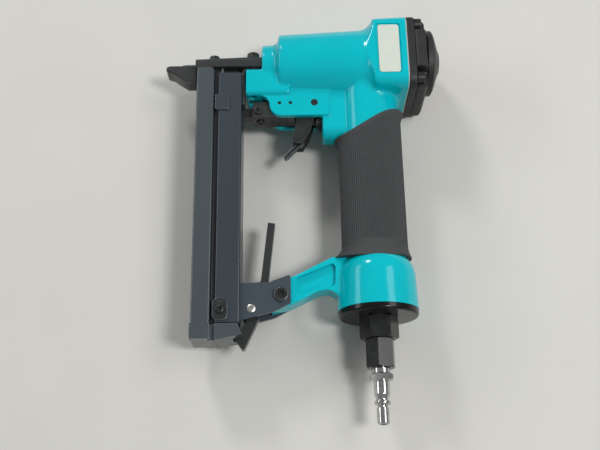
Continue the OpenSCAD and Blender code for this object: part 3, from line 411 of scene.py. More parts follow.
class Piece:
    """A mesh in the making, with the modelling steps that the tool's pieces need."""

    def __init__(self, name: str) -> None:
        """Takes over the object that an operator has just added."""
        self.obj: bpy.types.Object = bpy.context.object
        self.obj.name = name
        self.obj.data.name = name

    @classmethod
    def block(cls, name: str, low: Point3, high: Point3) -> Piece:
        """Adds a box.

        Args:
            name: Name of the piece.
            low: Lowest corner, in millimetres.
            high: Highest corner, in millimetres.

        Returns:
            The new piece.
        """
        deselect_all()
        lower, upper = Vector(low) * MM, Vector(high) * MM
        bpy.ops.mesh.primitive_cube_add(size=1.0, location=(lower + upper) / 2)
        piece = cls(name)
        piece.obj.scale = upper - lower
        bpy.ops.object.transform_apply(location=True, rotation=True, scale=True)
        return piece

    @classmethod
    def outline(cls, name: str, points: Sequence[Vector], filled: bool) -> Piece:
        """Adds a circle and moves its corners onto a closed line.

        Args:
            name: Name of the piece.
            points: Corners of the line, in metres.
            filled: Whether the line gets a face.

        Returns:
            The new piece.
        """
        deselect_all()
        fill = "NGON" if filled else "NOTHING"
        bpy.ops.mesh.primitive_circle_add(vertices=len(points), radius=SEED, fill_type=fill)
        piece = cls(name)
        for vertex, point in zip(piece.obj.data.vertices, points):
            vertex.co = point
        return piece

    @classmethod
    def prism(cls, name: str, points: Sequence[Point2], plane: Plane, low: float, high: float) -> Piece:
        """Draws an outline out to a solid.

        Args:
            name: Name of the piece.
            points: Outline in the plane, in millimetres.
            plane: Plane of the outline.
            low: Depth at which the solid starts.
            high: Depth at which it ends.

        Returns:
            The new piece.
        """
        piece = cls.outline(name, [plane.point(a, b, low) for a, b in points], True)
        with piece.editing():
            bpy.ops.mesh.extrude_region_move(TRANSFORM_OT_translate={"value": plane.point(0, 0, high - low)})
        piece.face_outwards()
        return piece

    @classmethod
    def turned(
        cls, name: str, profile: Sequence[Point2], axis: Axis, at: Point3 = ORIGIN, steps: int = 72
    ) -> Piece:
        """Spins a closed profile round an axis.

        Args:
            name: Name of the piece.
            profile: Stations along the axis and radii, in millimetres.
            axis: Axis of the turning.
            at: Point on the axis from which the stations count.
            steps: Number of facets round the axis.

        Returns:
            The new piece.
        """
        along, out = (Vector(v) for v in axis.value)
        start = Vector(at) * MM
        points = [start + (along * station + out * radius) * MM for station, radius in profile]
        piece = cls.outline(name, points, False)
        with piece.editing():
            bpy.ops.mesh.spin(steps=steps, angle=math.tau, center=start, axis=along)
            bpy.ops.mesh.select_all(action="SELECT")
            bpy.ops.mesh.remove_doubles(threshold=SAME)
            bpy.ops.mesh.delete_loose(use_verts=True, use_edges=True, use_faces=False)
        piece.face_outwards()
        return piece

    @classmethod
    def rod(cls, axis: Axis, radius: float, at: Point3, start: float, end: float) -> Piece:
        """Turns a plain rod that cuts a hole.

        Args:
            axis: Axis of the rod.
            radius: Radius of the hole.
            at: Point on the axis from which the stations count.
            start: Station at which the rod starts.
            end: Station at which it ends.

        Returns:
            The rod.
        """
        profile = [(start, 0.0), (start, radius), (end, radius), (end, 0.0)]
        return cls.turned("rod", profile, axis, at, ROD_FACETS)

    @classmethod
    def loft(cls, name: str, rings: Sequence[Sequence[Point3]], hollow: bool = False) -> Piece:
        """Adds a grid and lays its rows onto rings.

        Args:
            name: Name of the piece.
            rings: Rings of points with equal counts, in millimetres.
            hollow: Whether the last ring joins the first one, as in a tube with a wall.

        Returns:
            The new closed piece.
        """
        rows = [list(ring) + [ring[0]] for ring in rings]
        if hollow:
            rows.append(rows[0])
        deselect_all()
        bpy.ops.mesh.primitive_grid_add(x_subdivisions=len(rows[0]) - 1, y_subdivisions=len(rows) - 1)
        piece = cls(name)
        spots = [Vector(point) * MM for row in rows for point in row]
        for vertex, spot in zip(piece.obj.data.vertices, spots, strict=True):
            vertex.co = spot
        with piece.editing():
            bpy.ops.mesh.remove_doubles(threshold=SAME)
        if not hollow:
            piece.close_holes()
        piece.face_outwards()
        return piece

    @classmethod
    def from_solid(cls, name: str, node: str) -> Piece:
        """Takes a copy of a CAD node's mesh, merged and with its flat faces whole again.

        Args:
            name: Name of the piece.
            node: Name of the CAD node.

        Returns:
            The new piece.
        """
        deselect_all()
        bpy.ops.mesh.primitive_plane_add(size=SEED)
        piece = cls(name)
        piece.obj.data = bpy.data.objects[node].data.copy()
        piece.obj.data.name = name
        piece.obj.data.materials.clear()
        with piece.editing():
            bpy.ops.mesh.remove_doubles(threshold=SOLID_SAME)
            bpy.ops.mesh.dissolve_limited(angle_limit=math.radians(FLAT))
        return piece

    @contextmanager
    def editing(self) -> Iterator[bmesh.types.BMesh]:
        """Opens the mesh in edit mode with everything selected."""
        self.activate()
        bpy.ops.object.mode_set(mode="EDIT")
        bpy.ops.mesh.select_mode(type="VERT")
        bpy.ops.mesh.select_all(action="SELECT")
        yield bmesh.from_edit_mesh(self.obj.data)
        bpy.ops.object.mode_set(mode="OBJECT")

    def activate(self) -> None:
        """Makes this the one selected object."""
        deselect_all()
        self.obj.select_set(True)
        bpy.context.view_layer.objects.active = self.obj

    def close_holes(self) -> None:
        """Fills the holes that are left in the mesh."""
        with self.editing():
            bpy.ops.mesh.select_all(action="DESELECT")
            bpy.ops.mesh.select_non_manifold()
            bpy.ops.mesh.fill_holes(sides=0)

    def face_outwards(self) -> None:
        """Turns all faces outwards."""
        with self.editing():
            bpy.ops.mesh.normals_make_consistent(inside=False)

    def modify(self, kind: str, **settings: Any) -> Piece:
        """Adds a modifier with its settings, applies it and gives the piece back."""
        modifier = self.obj.modifiers.new(kind.lower(), kind)
        for key, value in settings.items():
            setattr(modifier, key, value)
        self.activate()
        bpy.ops.object.modifier_apply(modifier=modifier.name)
        return self

    def round_edges(self, width: float, angle: float = 35.0, segments: int = 3) -> Piece:
        """Rounds the edges that turn by more than an angle, to a width in millimetres."""
        return self.modify("BEVEL", width=width * MM, segments=segments, limit_method="ANGLE",
                           angle_limit=math.radians(angle), use_clamp_overlap=True)

    def combine(self, other: Piece, how: Cut = Cut.TAKE, solver: str = "EXACT") -> Piece:
        """Takes, adds or keeps what another solid covers.

        Args:
            other: The second solid, which is used up.
            how: What happens with it.
            solver: Blender's boolean solver.

        Returns:
            This piece.

        Raises:
            RuntimeError: If nothing is left of the piece.
        """
        self.modify("BOOLEAN", operation=how.value, object=other.obj, solver=solver)
        if not self.obj.data.polygons:
            raise RuntimeError(f"nothing is left of {self.obj.name}")
        other.discard()
        return self

    def join(self, *others: Piece) -> Piece:
        """Takes other pieces into this mesh as they are."""
        self.activate()
        for other in others:
            other.obj.select_set(True)
        bpy.ops.object.join()
        return self

    def copy(self, move: Matrix) -> Piece:
        """Gives a copy with a mesh of its own, moved by a matrix in metres."""
        self.activate()
        bpy.ops.object.duplicate(linked=False)
        twin = Piece(self.obj.name + "_copy")
        return twin.place(move)

    def place(self, move: Matrix) -> Piece:
        """Moves the mesh by a matrix in metres."""
        self.obj.matrix_world = move
        self.activate()
        bpy.ops.object.transform_apply(location=True, rotation=True, scale=True)
        if move.determinant() < 0:
            self.face_outwards()
        return self

    def discard(self) -> None:
        """Removes a helper solid that is used up."""
        mesh = self.obj.data
        bpy.data.objects.remove(self.obj, do_unlink=True)
        bpy.data.meshes.remove(mesh)

    def smooth_where(self, inside: Callable[[Vector], bool], repeat: int, factor: float = 0.5) -> None:
        """Smooths the vertices whose place, in millimetres, passes a test."""
        with self.editing() as mesh:
            bpy.ops.mesh.select_all(action="DESELECT")
            for vertex in mesh.verts:
                vertex.select_set(inside(vertex.co / MM))
            bmesh.update_edit_mesh(self.obj.data)
            bpy.ops.mesh.vertices_smooth(factor=factor, repeat=repeat)

    def patch(self, finish: Finish, inside: Callable[[Vector], bool]) -> None:
        """Gives a second finish to the faces whose middle, in millimetres, passes a test."""
        self.obj.data.materials.append(finish.material())
        for face in self.obj.data.polygons:
            if inside(face.center / MM):
                face.material_index = len(self.obj.data.materials) - 1

    def paint_edge_highlights(self, finish: Finish, width: float = 0.3) -> None:
        """Paints highlights on the narrow faces, which are those of the rounded edges, with a second finish.

        Args:
            finish: Paler finish that paints the edge highlights.
            width: Faces narrower than this, in millimetres, count as edges.
        """
        mesh = self.obj.data
        mesh.materials.append(finish.material())
        for face in mesh.polygons:
            corners = [mesh.vertices[i].co for i in face.vertices]
            longest = max((a - b).length for a, b in zip(corners, corners[1:] + corners[:1]))
            if face.area < longest * width * MM:
                face.material_index = len(mesh.materials) - 1

    def hand_over(self, body: str, finish: Finish, slot: str, *nodes: str, angle: float = 38.0) -> Piece:
        """Finishes the piece: shading, material and body, and hides the CAD nodes that it stands for.

        Args:
            body: CAD body that it rides on.
            finish: Its surface.
            slot: Material slot of the record; not used.
            nodes: CAD nodes that it replaces.
            angle: Edges that turn by more than this stay sharp, in degrees.

        Returns:
            This piece.
        """
        self.activate()
        bpy.ops.object.shade_smooth_by_angle(angle=math.radians(angle))
        self.modify("WEIGHTED_NORMAL", keep_sharp=True)
        self.obj.data.materials.clear()
        self.obj.data.materials.append(finish.material())
        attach(self.obj, body)
        if nodes:
            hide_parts(*nodes)
        LOG.info("%s: %d faces on %s", self.obj.name, len(self.obj.data.polygons), body)
        return self


@dataclass(frozen=True)
class Screw:
    """A socket screw, with its socket measured across the corners."""

    head: Head
    head_d: float
    head_h: float
    shank_d: float
    length: float
    socket: float
    chamfer: float = 0.3
    seat_edge: float = 0.15
    crown_edge: float = 0.45
    dome_rim: float = 0.25
    dome_power: float = 0.8
    socket_floor: float = 0.35
    facets: int = ROD_FACETS

    def model(self, name: str) -> Piece:
        """Models the screw so that it stands on the origin with its head up along Z.

        Args:
            name: Name of the piece.

        Returns:
            The screw.
        """
        r, shank = self.head_d / 2, self.shank_d / 2
        profile = [(-self.length, 0.0), (-self.length, shank - self.chamfer),
                   (self.chamfer - self.length, shank), (0.0, shank), (0.0, r - self.seat_edge),
                   (self.seat_edge, r), *self.crown(), (self.head_h, 0.0)]
        body = Piece.turned(name, profile, Axis.ACROSS, steps=self.facets)
        key = Piece.prism("key", hexagon_points((0.0, 0.0), self.socket / 2), Plane.XY,
                          self.head_h * self.socket_floor, self.head_h + LAP)
        return body.combine(key)

    def crown(self) -> list[Point2]:
        """Gives the head's upper edge: a round corner, or the dome of a button head.

        Returns:
            Heights and radii, from the rim to the flat round the socket.
        """
        r, h = self.head_d / 2, self.head_h
        if self.head is Head.CAP:
            edge = min(self.crown_edge, h / 4)
            return arc((h - edge, r - edge), edge, 90, 0, 3)
        flat = self.socket / 2 + self.chamfer
        angles = [math.radians(a) for a in range(15, 91, 15)]
        dome = [(h * math.sin(a) ** self.dome_power, flat + (r - flat) * math.cos(a)) for a in angles]
        return [(h * self.dome_rim, r), *dome]


def aim(at: Point3, way: Point3) -> Matrix:
    """Gives the matrix that turns Z to a direction and moves the origin to a point in millimetres."""
    turn = Vector((0, 0, 1)).rotation_difference(Vector(way)).to_matrix().to_4x4()
    return Matrix.Translation(Vector(at) * MM) @ turn


@dataclass(frozen=True)
class Blend:
    """A part of the casting whose fillets are smoothed, alike on both sides."""

    x: Point2
    y: Point2
    half: Point2
    repeat: int

    def holds(self, spot: Vector) -> bool:
        """Tells whether a place in millimetres lies in this part."""
        ranges = ((spot.x, self.x), (spot.y, self.y), (abs(spot.z), self.half))
        return all(low < value < high for value, (low, high) in ranges)


@dataclass
class BodyCasting:
    """The painted body: barrel, head block, nose block, cheeks, handle, butt and arm."""

    neck_x: float = 56.0
    neck_r: float = 14.0
    neck_edge: float = 1.0
    neck_fillet: float = 4.2
    neck_rise: float = 0.2
    barrel_x: float = 65.5
    barrel_r: float = 20.0
    barrel_edge: float = 1.6
    barrel_end: Point2 = (112.4, 22.0)
    head_x: float = 119.4
    cap_x: float = 138.4
    head_w: float = 45.98
    head_heights: Point2 = (44.0, 45.58)
    head_corner: float = 6.4
    head_fillet: float = 7.0
    block_x: Point2 = (46.8, 71.5)
    block_y: Point2 = (-22.0, -5.2)
    block_w: float = 23.6
    block_corner: float = 2.6
    cheek_x: Point2 = (52.8, 94.2)
    cheek_y: Point2 = (-35.0, -13.5)
    cheek_front: float = -18.0
    # Where the front edge of the cheeks bends back and forth, and the two radii
    cheek_turn: Point2 = (60.3, -28.0)
    cheek_bends: Point2 = (6.0, 7.0)
    cheek_out: float = 10.0
    cheek_in: float = 7.0
    # How much thinner the cheeks are until the smoothing is done
    cheek_skin: float = 0.5
    cheek_edge: float = 0.45
    slot_at: Point2 = (54.3, -22.0)
    nose_slot: tuple[Point3, Point3] = ((48.3, -23.0, -3.0), (54.3, -16.0, 3.0))
    boss_x: Point2 = (90.0, 106.5)
    boss_y: Point2 = (-47.4, -15.0)
    boss_half: float = 8.8
    boss_corner: float = 6.5
    boss_edge: float = 1.2
    handle_x: float = 117.2
    handle_size: Point2 = (33.4, 30.0)
    handle_top: float = -13.0
    handle_lap: float = 5.0
    butt_y: Point2 = (118.5, 147.0)
    butt_r: float = 21.6
    butt_taper: float = 0.6
    # Height of the shoulder, and its radius at the top
    shoulder: Point2 = (11.0, 14.0)
    arm_half: float = 6.5
    arm_root: tuple[Point2, ...] = ((93.7, -117.9), (105.2, -117.9), (105.2, -142.5))
    arm_bend: tuple[Point2, float] = ((89.6, -144.2), 8.0)
    bolt_at: Point2 = (66.0, -139.0)
    panel_end: tuple[Point2, ...] = (
        (93.6, -121.5), (95.0, -123.6), (94.7, -133.2), (92.4, -134.8), (87.6, -133.3),
    )
    panel_depth: float = 2.5
    panel_corner: float = 2.4
    # Radius and place of each hole across: trigger pin, two roll pins, arm bolt
    cross_holes: tuple[tuple[float, Point2], ...] = (
        (2.05, (85.7, -27.0)), (1.05, (65.9, -27.0)), (1.05, (72.1, -27.0)), (2.55, bolt_at),
    )
    screw_hole: float = 2.05
    nose_screw: Point2 = (50.8, 7.4)
    nose_hole_l: float = 23.0
    cap_bolt_ys: Point2 = (17.3, -17.3)
    cap_bolt_z: float = 18.9
    cap_hole_x: float = 123.4
    air_bore: float = 11.0
    air_top: float = 18.0
    end_bore: float = 16.0
    end_bore_l: float = 10.0
    valve_bore: float = 4.25
    valve_y: float = -35.0
    valve_x: Point2 = (88.0, 108.0)
    guide_bore: float = 5.2
    guide_x: Point2 = (50.0, 67.0)
    # Seats of the sleeve, air room round it and bore of the head valve
    cavity_radii: Point3 = (15.55, 17.5, 19.5)
    recess_size: Point2 = (14.1, 32.4)
    recess_at: Point2 = (128.0, -0.2)
    recess_z: float = 22.3
    label_corner: float = 1.6
    label_edge: float = 0.12
    # What the head and the butt are too long until their ends are cut flat
    spare: float = 4.0
    voxel: float = 0.62
    passes: int = 3
    # Under the head, beside the nose block, and where the barrel meets the head
    blends: tuple[Blend, ...] = (
        Blend((108.0, 139.0), (-29.0, -12.0), (-1.0, 20.5), 30),
        Blend((55.0, 63.0), (-14.0, -6.0), (8.0, PAST), 14),
        Blend((109.0, 121.5), (-20.0, PAST), (-1.0, PAST), 10),
    )
    crease: float = 42.0

    def build(self) -> None:
        """Casts the body, hollows it and hands it over with its bare label plate."""
        body = self.barrel()
        core = self.cheeks(self.cheek_out - self.cheek_skin)
        body.join(self.head(), self.nose_block(), core, *self.handle(), self.butt(), self.arm())
        body.modify("REMESH", mode="VOXEL", voxel_size=self.voxel * MM)
        body.modify("SMOOTH", factor=0.5, iterations=self.passes)
        for blend in self.blends:
            body.smooth_where(blend.holds, blend.repeat)
        crisp = self.cheeks(self.cheek_out).round_edges(self.cheek_edge, 60)
        body.combine(crisp, Cut.ADD, "MANIFOLD")
        self.hollow(body)
        body.hand_over("tool_body", ENAMEL, "casting_paint", "body_casting", angle=self.crease)
        self.label()

    def barrel(self) -> Piece:
        """Turns the neck and the barrel, with the sweep into the head block."""
        x, r = self.barrel_end
        edge, fillet, corner = self.neck_edge, self.neck_fillet, self.barrel_edge
        profile = [(self.neck_x, 0.0), *arc((self.neck_x + edge, self.neck_r - edge), edge, 180, 90, 4),
                   *arc((self.barrel_x - fillet, self.neck_r + self.neck_rise + fillet), fillet, 270, 360, 8),
                   *arc((self.barrel_x + corner, self.barrel_r - corner), corner, 180, 90, 6),
                   (x, r), (self.head_x + 2 * LAP, r), (self.head_x + 2 * LAP, 0.0)]
        tube = Piece.turned("body_casting_paint", profile, Axis.DRIVE, steps=FINE_FACETS)
        bend = self.head_fillet
        sweep = [(x - LAP, 0.0), (x - LAP, r - 0.1), *arc((x, r + bend), bend, 270, 360, 10),
                 (self.head_x + LAP, r + bend), (self.head_x + LAP, 0.0)]
        flare = Piece.turned("flare", sweep, Axis.DRIVE, steps=FINE_FACETS)
        outline = self.head_outline(self.head_heights[0])
        bound = Piece.prism("bound", outline, Plane.YZ, x - 2 * LAP, self.head_x + 3 * LAP)
        return tube.join(flare.combine(bound, Cut.KEEP))

    def head_outline(self, height: float) -> list[Point2]:
        """Gives the outline of the head block where it has a height."""
        return round_box(height, self.head_w, self.head_corner, steps=10)

    def head(self) -> Piece:
        """Lofts the head block, which grows a little towards the cap face that is cut flat later."""
        low, high = self.head_heights
        rings = [[(x, y, z) for y, z in self.head_outline(height)]
                 for x, height in ((self.head_x, low), (self.cap_x, high), (self.cap_x + self.spare, high))]
        return Piece.loft("head", rings)

    def nose_block(self) -> Piece:
        """Models the block that carries the driver guide."""
        low, high = self.block_y
        outline = round_box(high - low, self.block_w, self.block_corner, ((low + high) / 2, 0.0))
        return Piece.prism("nose_block", outline, Plane.YZ, *self.block_x)

    def cheeks(self, half: float) -> Piece:
        """Models the two trigger cheeks as one slab of a half width, which the trigger slot divides later."""
        (front, back), (low, high) = self.cheek_x, self.cheek_y
        x, y = self.cheek_turn
        upper, lower = self.cheek_bends
        side = [(front, self.cheek_front), *arc((x - upper, y), upper, 90, 0),
                *arc((x + lower, y), lower, 180, 270), (back, low), (back, high), (front, high)]
        return Piece.prism("cheeks", side, Plane.XY, -half, half)

    def handle(self) -> list[Piece]:
        """Models the handle up to the barrel and the boss of the trigger valve on its front."""
        outline = round_box(*self.handle_size, self.handle_size[1] / 2 - 0.01, (self.handle_x, 0.0), 12)
        core = Piece.prism("handle", outline, Plane.XZ, -self.butt_y[0] - self.handle_lap, self.handle_top)
        low, high = self.boss_y
        section = round_box(high - low, 2 * self.boss_half, self.boss_corner, ((low + high) / 2, 0.0), 8)
        boss = Piece.prism("boss", section, Plane.YZ, *self.boss_x).round_edges(self.boss_edge, 60)
        return [core, boss]

    def butt(self) -> Piece:
        """Turns the butt with its full shoulder, a little longer than its end, which is cut flat later."""
        (top, end), (height, inner) = self.butt_y, self.shoulder
        swell = self.butt_r - self.butt_taper - inner
        angles = [math.radians(a) for a in range(0, 91, 9)]
        profile = [(top - self.handle_lap, 0.0), (top - self.handle_lap, inner),
                   *((top + height * (1 - math.cos(a)), inner + swell * math.sin(a)) for a in angles),
                   (end, self.butt_r), (end + self.spare, self.butt_r), (end + self.spare, 0.0)]
        return Piece.turned("butt", profile, Axis.HANDLE, (self.handle_x, 0.0, 0.0), FINE_FACETS)

    def arm(self) -> Piece:
        """Models the arm to the magazine."""
        x, y = self.bolt_at
        side = [(x - 5.5, y + 5.4), (x + 4.8, y + 9.8), *self.arm_root, *arc(*self.arm_bend, 10, 90),
                (x + 18.5, y + 1.6), (x + 12, y - 1.9), (x + 5, y - 5.2), (x - 5.5, y - 7.6)]
        return Piece.prism("arm", side, Plane.XY, -self.arm_half, self.arm_half)

    def panels(self) -> list[Piece]:
        """Models what is sunk into the two sides of the arm."""
        x, y = self.bolt_at
        corners = [(x + 7.8, y + 9.4), *self.panel_end, (x + 10.2, y + 0.4), (x + 7.6, y + 1.6)]
        panel = soften(corners, self.panel_corner)
        low, high = self.arm_half - self.panel_depth, self.arm_half + 2 * LAP
        return [Piece.prism("panel", panel, Plane.XY, *ends) for ends in ((low, high), (-high, -low))]

    def cavity(self) -> list[Point2]:
        """Gives the profile of the room in the barrel: two seats of the sleeve, air round it, head valve."""
        seat, air, valve = self.cavity_radii
        return [(65.4, 0.0), (65.4, seat), (73.5, seat), (75.5, air), (97.4, air), (99.4, seat),
                (104.4, seat), (106.4, air), (113.4, air), (115.4, valve), (146.0, valve), (146.0, 0.0)]

    def hollow(self, body: Piece) -> None:
        """Cuts the flat faces, the bores, the trigger slot, the holes and the label recess.

        Args:
            body: The casting, cut in place.
        """
        x, end = self.handle_x, self.butt_y[1]
        at = (x, 0.0, 0.0)
        (slot_x, slot_y), half = self.slot_at, self.cheek_in
        nose_x, nose_z = self.nose_screw
        recess = round_box(*self.recess_size, self.label_corner, self.recess_at)
        tools = [
            Piece.block("cap_face", (self.cap_x, -PAST, -PAST), (self.cap_x + PAST, PAST, PAST)),
            Piece.block("butt_face", (x - PAST, -end - PAST, -PAST), (x + PAST, -end, PAST)),
            Piece.block("slot", (slot_x, slot_y - PAST, -half), (self.boss_x[0], slot_y, half)),
            Piece.block("nose_slot", *self.nose_slot),
            Piece.rod(Axis.HANDLE, self.air_bore, at, self.air_top, end + PAST),
            Piece.rod(Axis.HANDLE, self.end_bore, at, end - self.end_bore_l, end + PAST),
            Piece.rod(Axis.DRIVE, self.valve_bore, (0.0, self.valve_y, 0.0), *self.valve_x),
            *(Piece.rod(Axis.ACROSS, r, (*spot, 0.0), -PAST, PAST) for r, spot in self.cross_holes),
            *(Piece.rod(Axis.HANDLE, self.screw_hole, (nose_x, 0.0, z), 0.0, self.nose_hole_l)
              for z in (-nose_z, nose_z)),
            *(Piece.rod(Axis.DRIVE, self.screw_hole, (0.0, y, z), self.cap_hole_x, self.cap_x + PAST)
              for y in self.cap_bolt_ys for z in (-self.cap_bolt_z, self.cap_bolt_z)),
            Piece.prism("recess", recess, Plane.XY, self.recess_z, PAST),
            *self.panels(),
            Piece.turned("cavity", self.cavity(), Axis.DRIVE),
            Piece.rod(Axis.DRIVE, self.guide_bore, ORIGIN, *self.guide_x),
        ]
        for tool in tools:
            body.combine(tool, Cut.TAKE, "MANIFOLD")

    def label(self) -> None:
        """Lays the bare plate in its recess."""
        low, high = box_mm("label_plate")
        middle = ((low.x + high.x) / 2, (low.y + high.y) / 2)
        outline = round_box(high.x - low.x, high.y - low.y, self.label_corner, middle)
        plate = Piece.prism("label_plate_film", outline, Plane.XY, low.z, high.z)
        plate.round_edges(self.label_edge, 40, 2)
        plate.hand_over("tool_body", FILM, "label_film", "label_plate")


@dataclass
class Grip:
    """The ribbed rubber sleeve of the handle."""

    axis_x: float = 117.0
    size: Point2 = (36.0, 33.0)
    wall: float = 1.45
    ribs: int = 88
    rib_depth: float = 0.45
    rib_wave: tuple[float, ...] = (0.0, 0.5, 1.0, 0.5)
    top_low: Point2 = (99.0, -47.5)
    top_high: Point2 = (137.0, -31.5)
    # How far the rim stands out at the front and at the back
    lip: Point2 = (2.7, 2.2)
    lip_h: float = 6.5
    rim_h: float = 6.6
    flare_y: float = -110.0
    flare_power: float = 2.4
    foot_y: Point2 = (-118.6, -120.6)
    # How far the flare stands out at the front, at the back and at the sides
    foot_out: Point3 = (6.0, 1.9, 1.2)
    foot_wall: float = 4.6
    foot_share: float = 0.95
    rows: int = 26
    foot_rows: int = 8
    crease: float = 60.0

    def build(self) -> None:
        """Lofts the sleeve with its ribs, its rolled rim, its lips and its flare."""
        # Depth below the curved edge, distance inside the outer face and strength of the ribs
        rim: list[Point3] = [
            (2.0, self.wall, 0.0), (0.25, self.wall - 0.1, 0.0), (0.0, 0.9, 0.0), (0.08, 0.45, 0.0),
            (0.5, 0.1, 0.0), (1.2, 0.0, 0.3), (2.2, 0.0, 0.8), (3.4, 0.0, 1.0), (4.8, 0.0, 1.0),
            (self.rim_h, 0.0, 1.0),
        ]
        rings = [self.ring(0.0, depth, inset, rib) for depth, inset, rib in rim]
        rings += [self.ring(i / self.rows, self.rim_h, 0.0, 1.0) for i in range(1, self.rows + 1)]
        shares = [i / self.foot_rows for i in range(1, self.foot_rows + 1)]
        rings += [self.foot(share * self.foot_share, 0.0, max(0.0, 1.0 - 2 * share)) for share in shares]
        rings += [self.foot(0.985, 0.3, 0.0), self.foot(1.0, 0.9, 0.0), self.foot(1.0, self.foot_wall, 0.0),
                  self.foot(0.0, self.wall, 0.0)]
        sleeve = Piece.loft("grip_sleeve_rubber", rings, hollow=True)
        sleeve.hand_over("tool_body", RUBBER, "grip_rubber", "grip_sleeve", angle=self.crease)

    def spots(self) -> list[tuple[Point2, Point2, float]]:
        """Gives points round the sleeve's section: place, outward normal and rib wave."""
        half_x, r = self.size[0] / 2, self.size[1] / 2
        straight, round_end = 2 * (half_x - r), math.pi * r
        total = 2 * (straight + round_end)
        per_rib = len(self.rib_wave)
        count = self.ribs * per_rib
        found = []
        for i in range(count):
            way = total * i / count
            if way < straight:
                spot, out = (half_x - r - way, r), (0.0, 1.0)
            elif way < straight + round_end:
                a = math.pi / 2 + (way - straight) / r
                out = (math.cos(a), math.sin(a))
                spot = (r - half_x + r * out[0], r * out[1])
            elif way < 2 * straight + round_end:
                spot, out = (r - half_x + way - straight - round_end, -r), (0.0, -1.0)
            else:
                a = -math.pi / 2 + (way - 2 * straight - round_end) / r
                out = (math.cos(a), math.sin(a))
                spot = (half_x - r + r * out[0], r * out[1])
            found.append((spot, out, self.rib_wave[i % per_rib]))
        return found

    def ring(self, share: float, depth: float, inset: float, rib: float) -> list[Point3]:
        """Gives one ring of the sleeve.

        Args:
            share: How far down from the curved edge to the flare.
            depth: Distance below the curved edge, where share is 0.
            inset: Distance inside the sleeve's outer face.
            rib: Strength of the ribs.

        Returns:
            The points of the ring.
        """
        (x0, y0), (x1, y1) = self.top_low, self.top_high
        near = max(0.0, 1.0 - depth / self.lip_h) ** 2 if share == 0.0 else 0.0
        points = []
        for (x, z), (nx, nz), wave in self.spots():
            lip = self.lip[0] if nx < 0 else self.lip[1]
            sink = inset + self.rib_depth * rib * wave - near * lip * abs(nx) ** 3
            px = self.axis_x + x - nx * sink
            s = min(1.0, max(0.0, (px - x0) / (x1 - x0)))
            top = mix(y0, y1, s * s * (3 - 2 * s)) - depth
            points.append((px, mix(top, self.flare_y, share), z - nz * sink))
        return points

    def foot(self, share: float, inset: float, rib: float) -> list[Point3]:
        """Gives one ring of the flare, a share of the way down to its edge on the butt's shoulder.

        Args:
            share: How far down the flare.
            inset: Distance inside the sleeve's outer face.
            rib: Strength of the ribs.

        Returns:
            The points of the ring.
        """
        left, right, side = self.foot_out
        points = []
        for (x, z), (nx, nz), wave in self.spots():
            out = mix(side, left if nx < 0 else right, nx * nx) * share**self.flare_power
            sink = inset + self.rib_depth * rib * wave - out
            y = mix(self.flare_y, mix(self.foot_y[0], self.foot_y[1], nz * nz), share)
            points.append((self.axis_x + x - nx * sink, y, z - nz * sink))
        return points


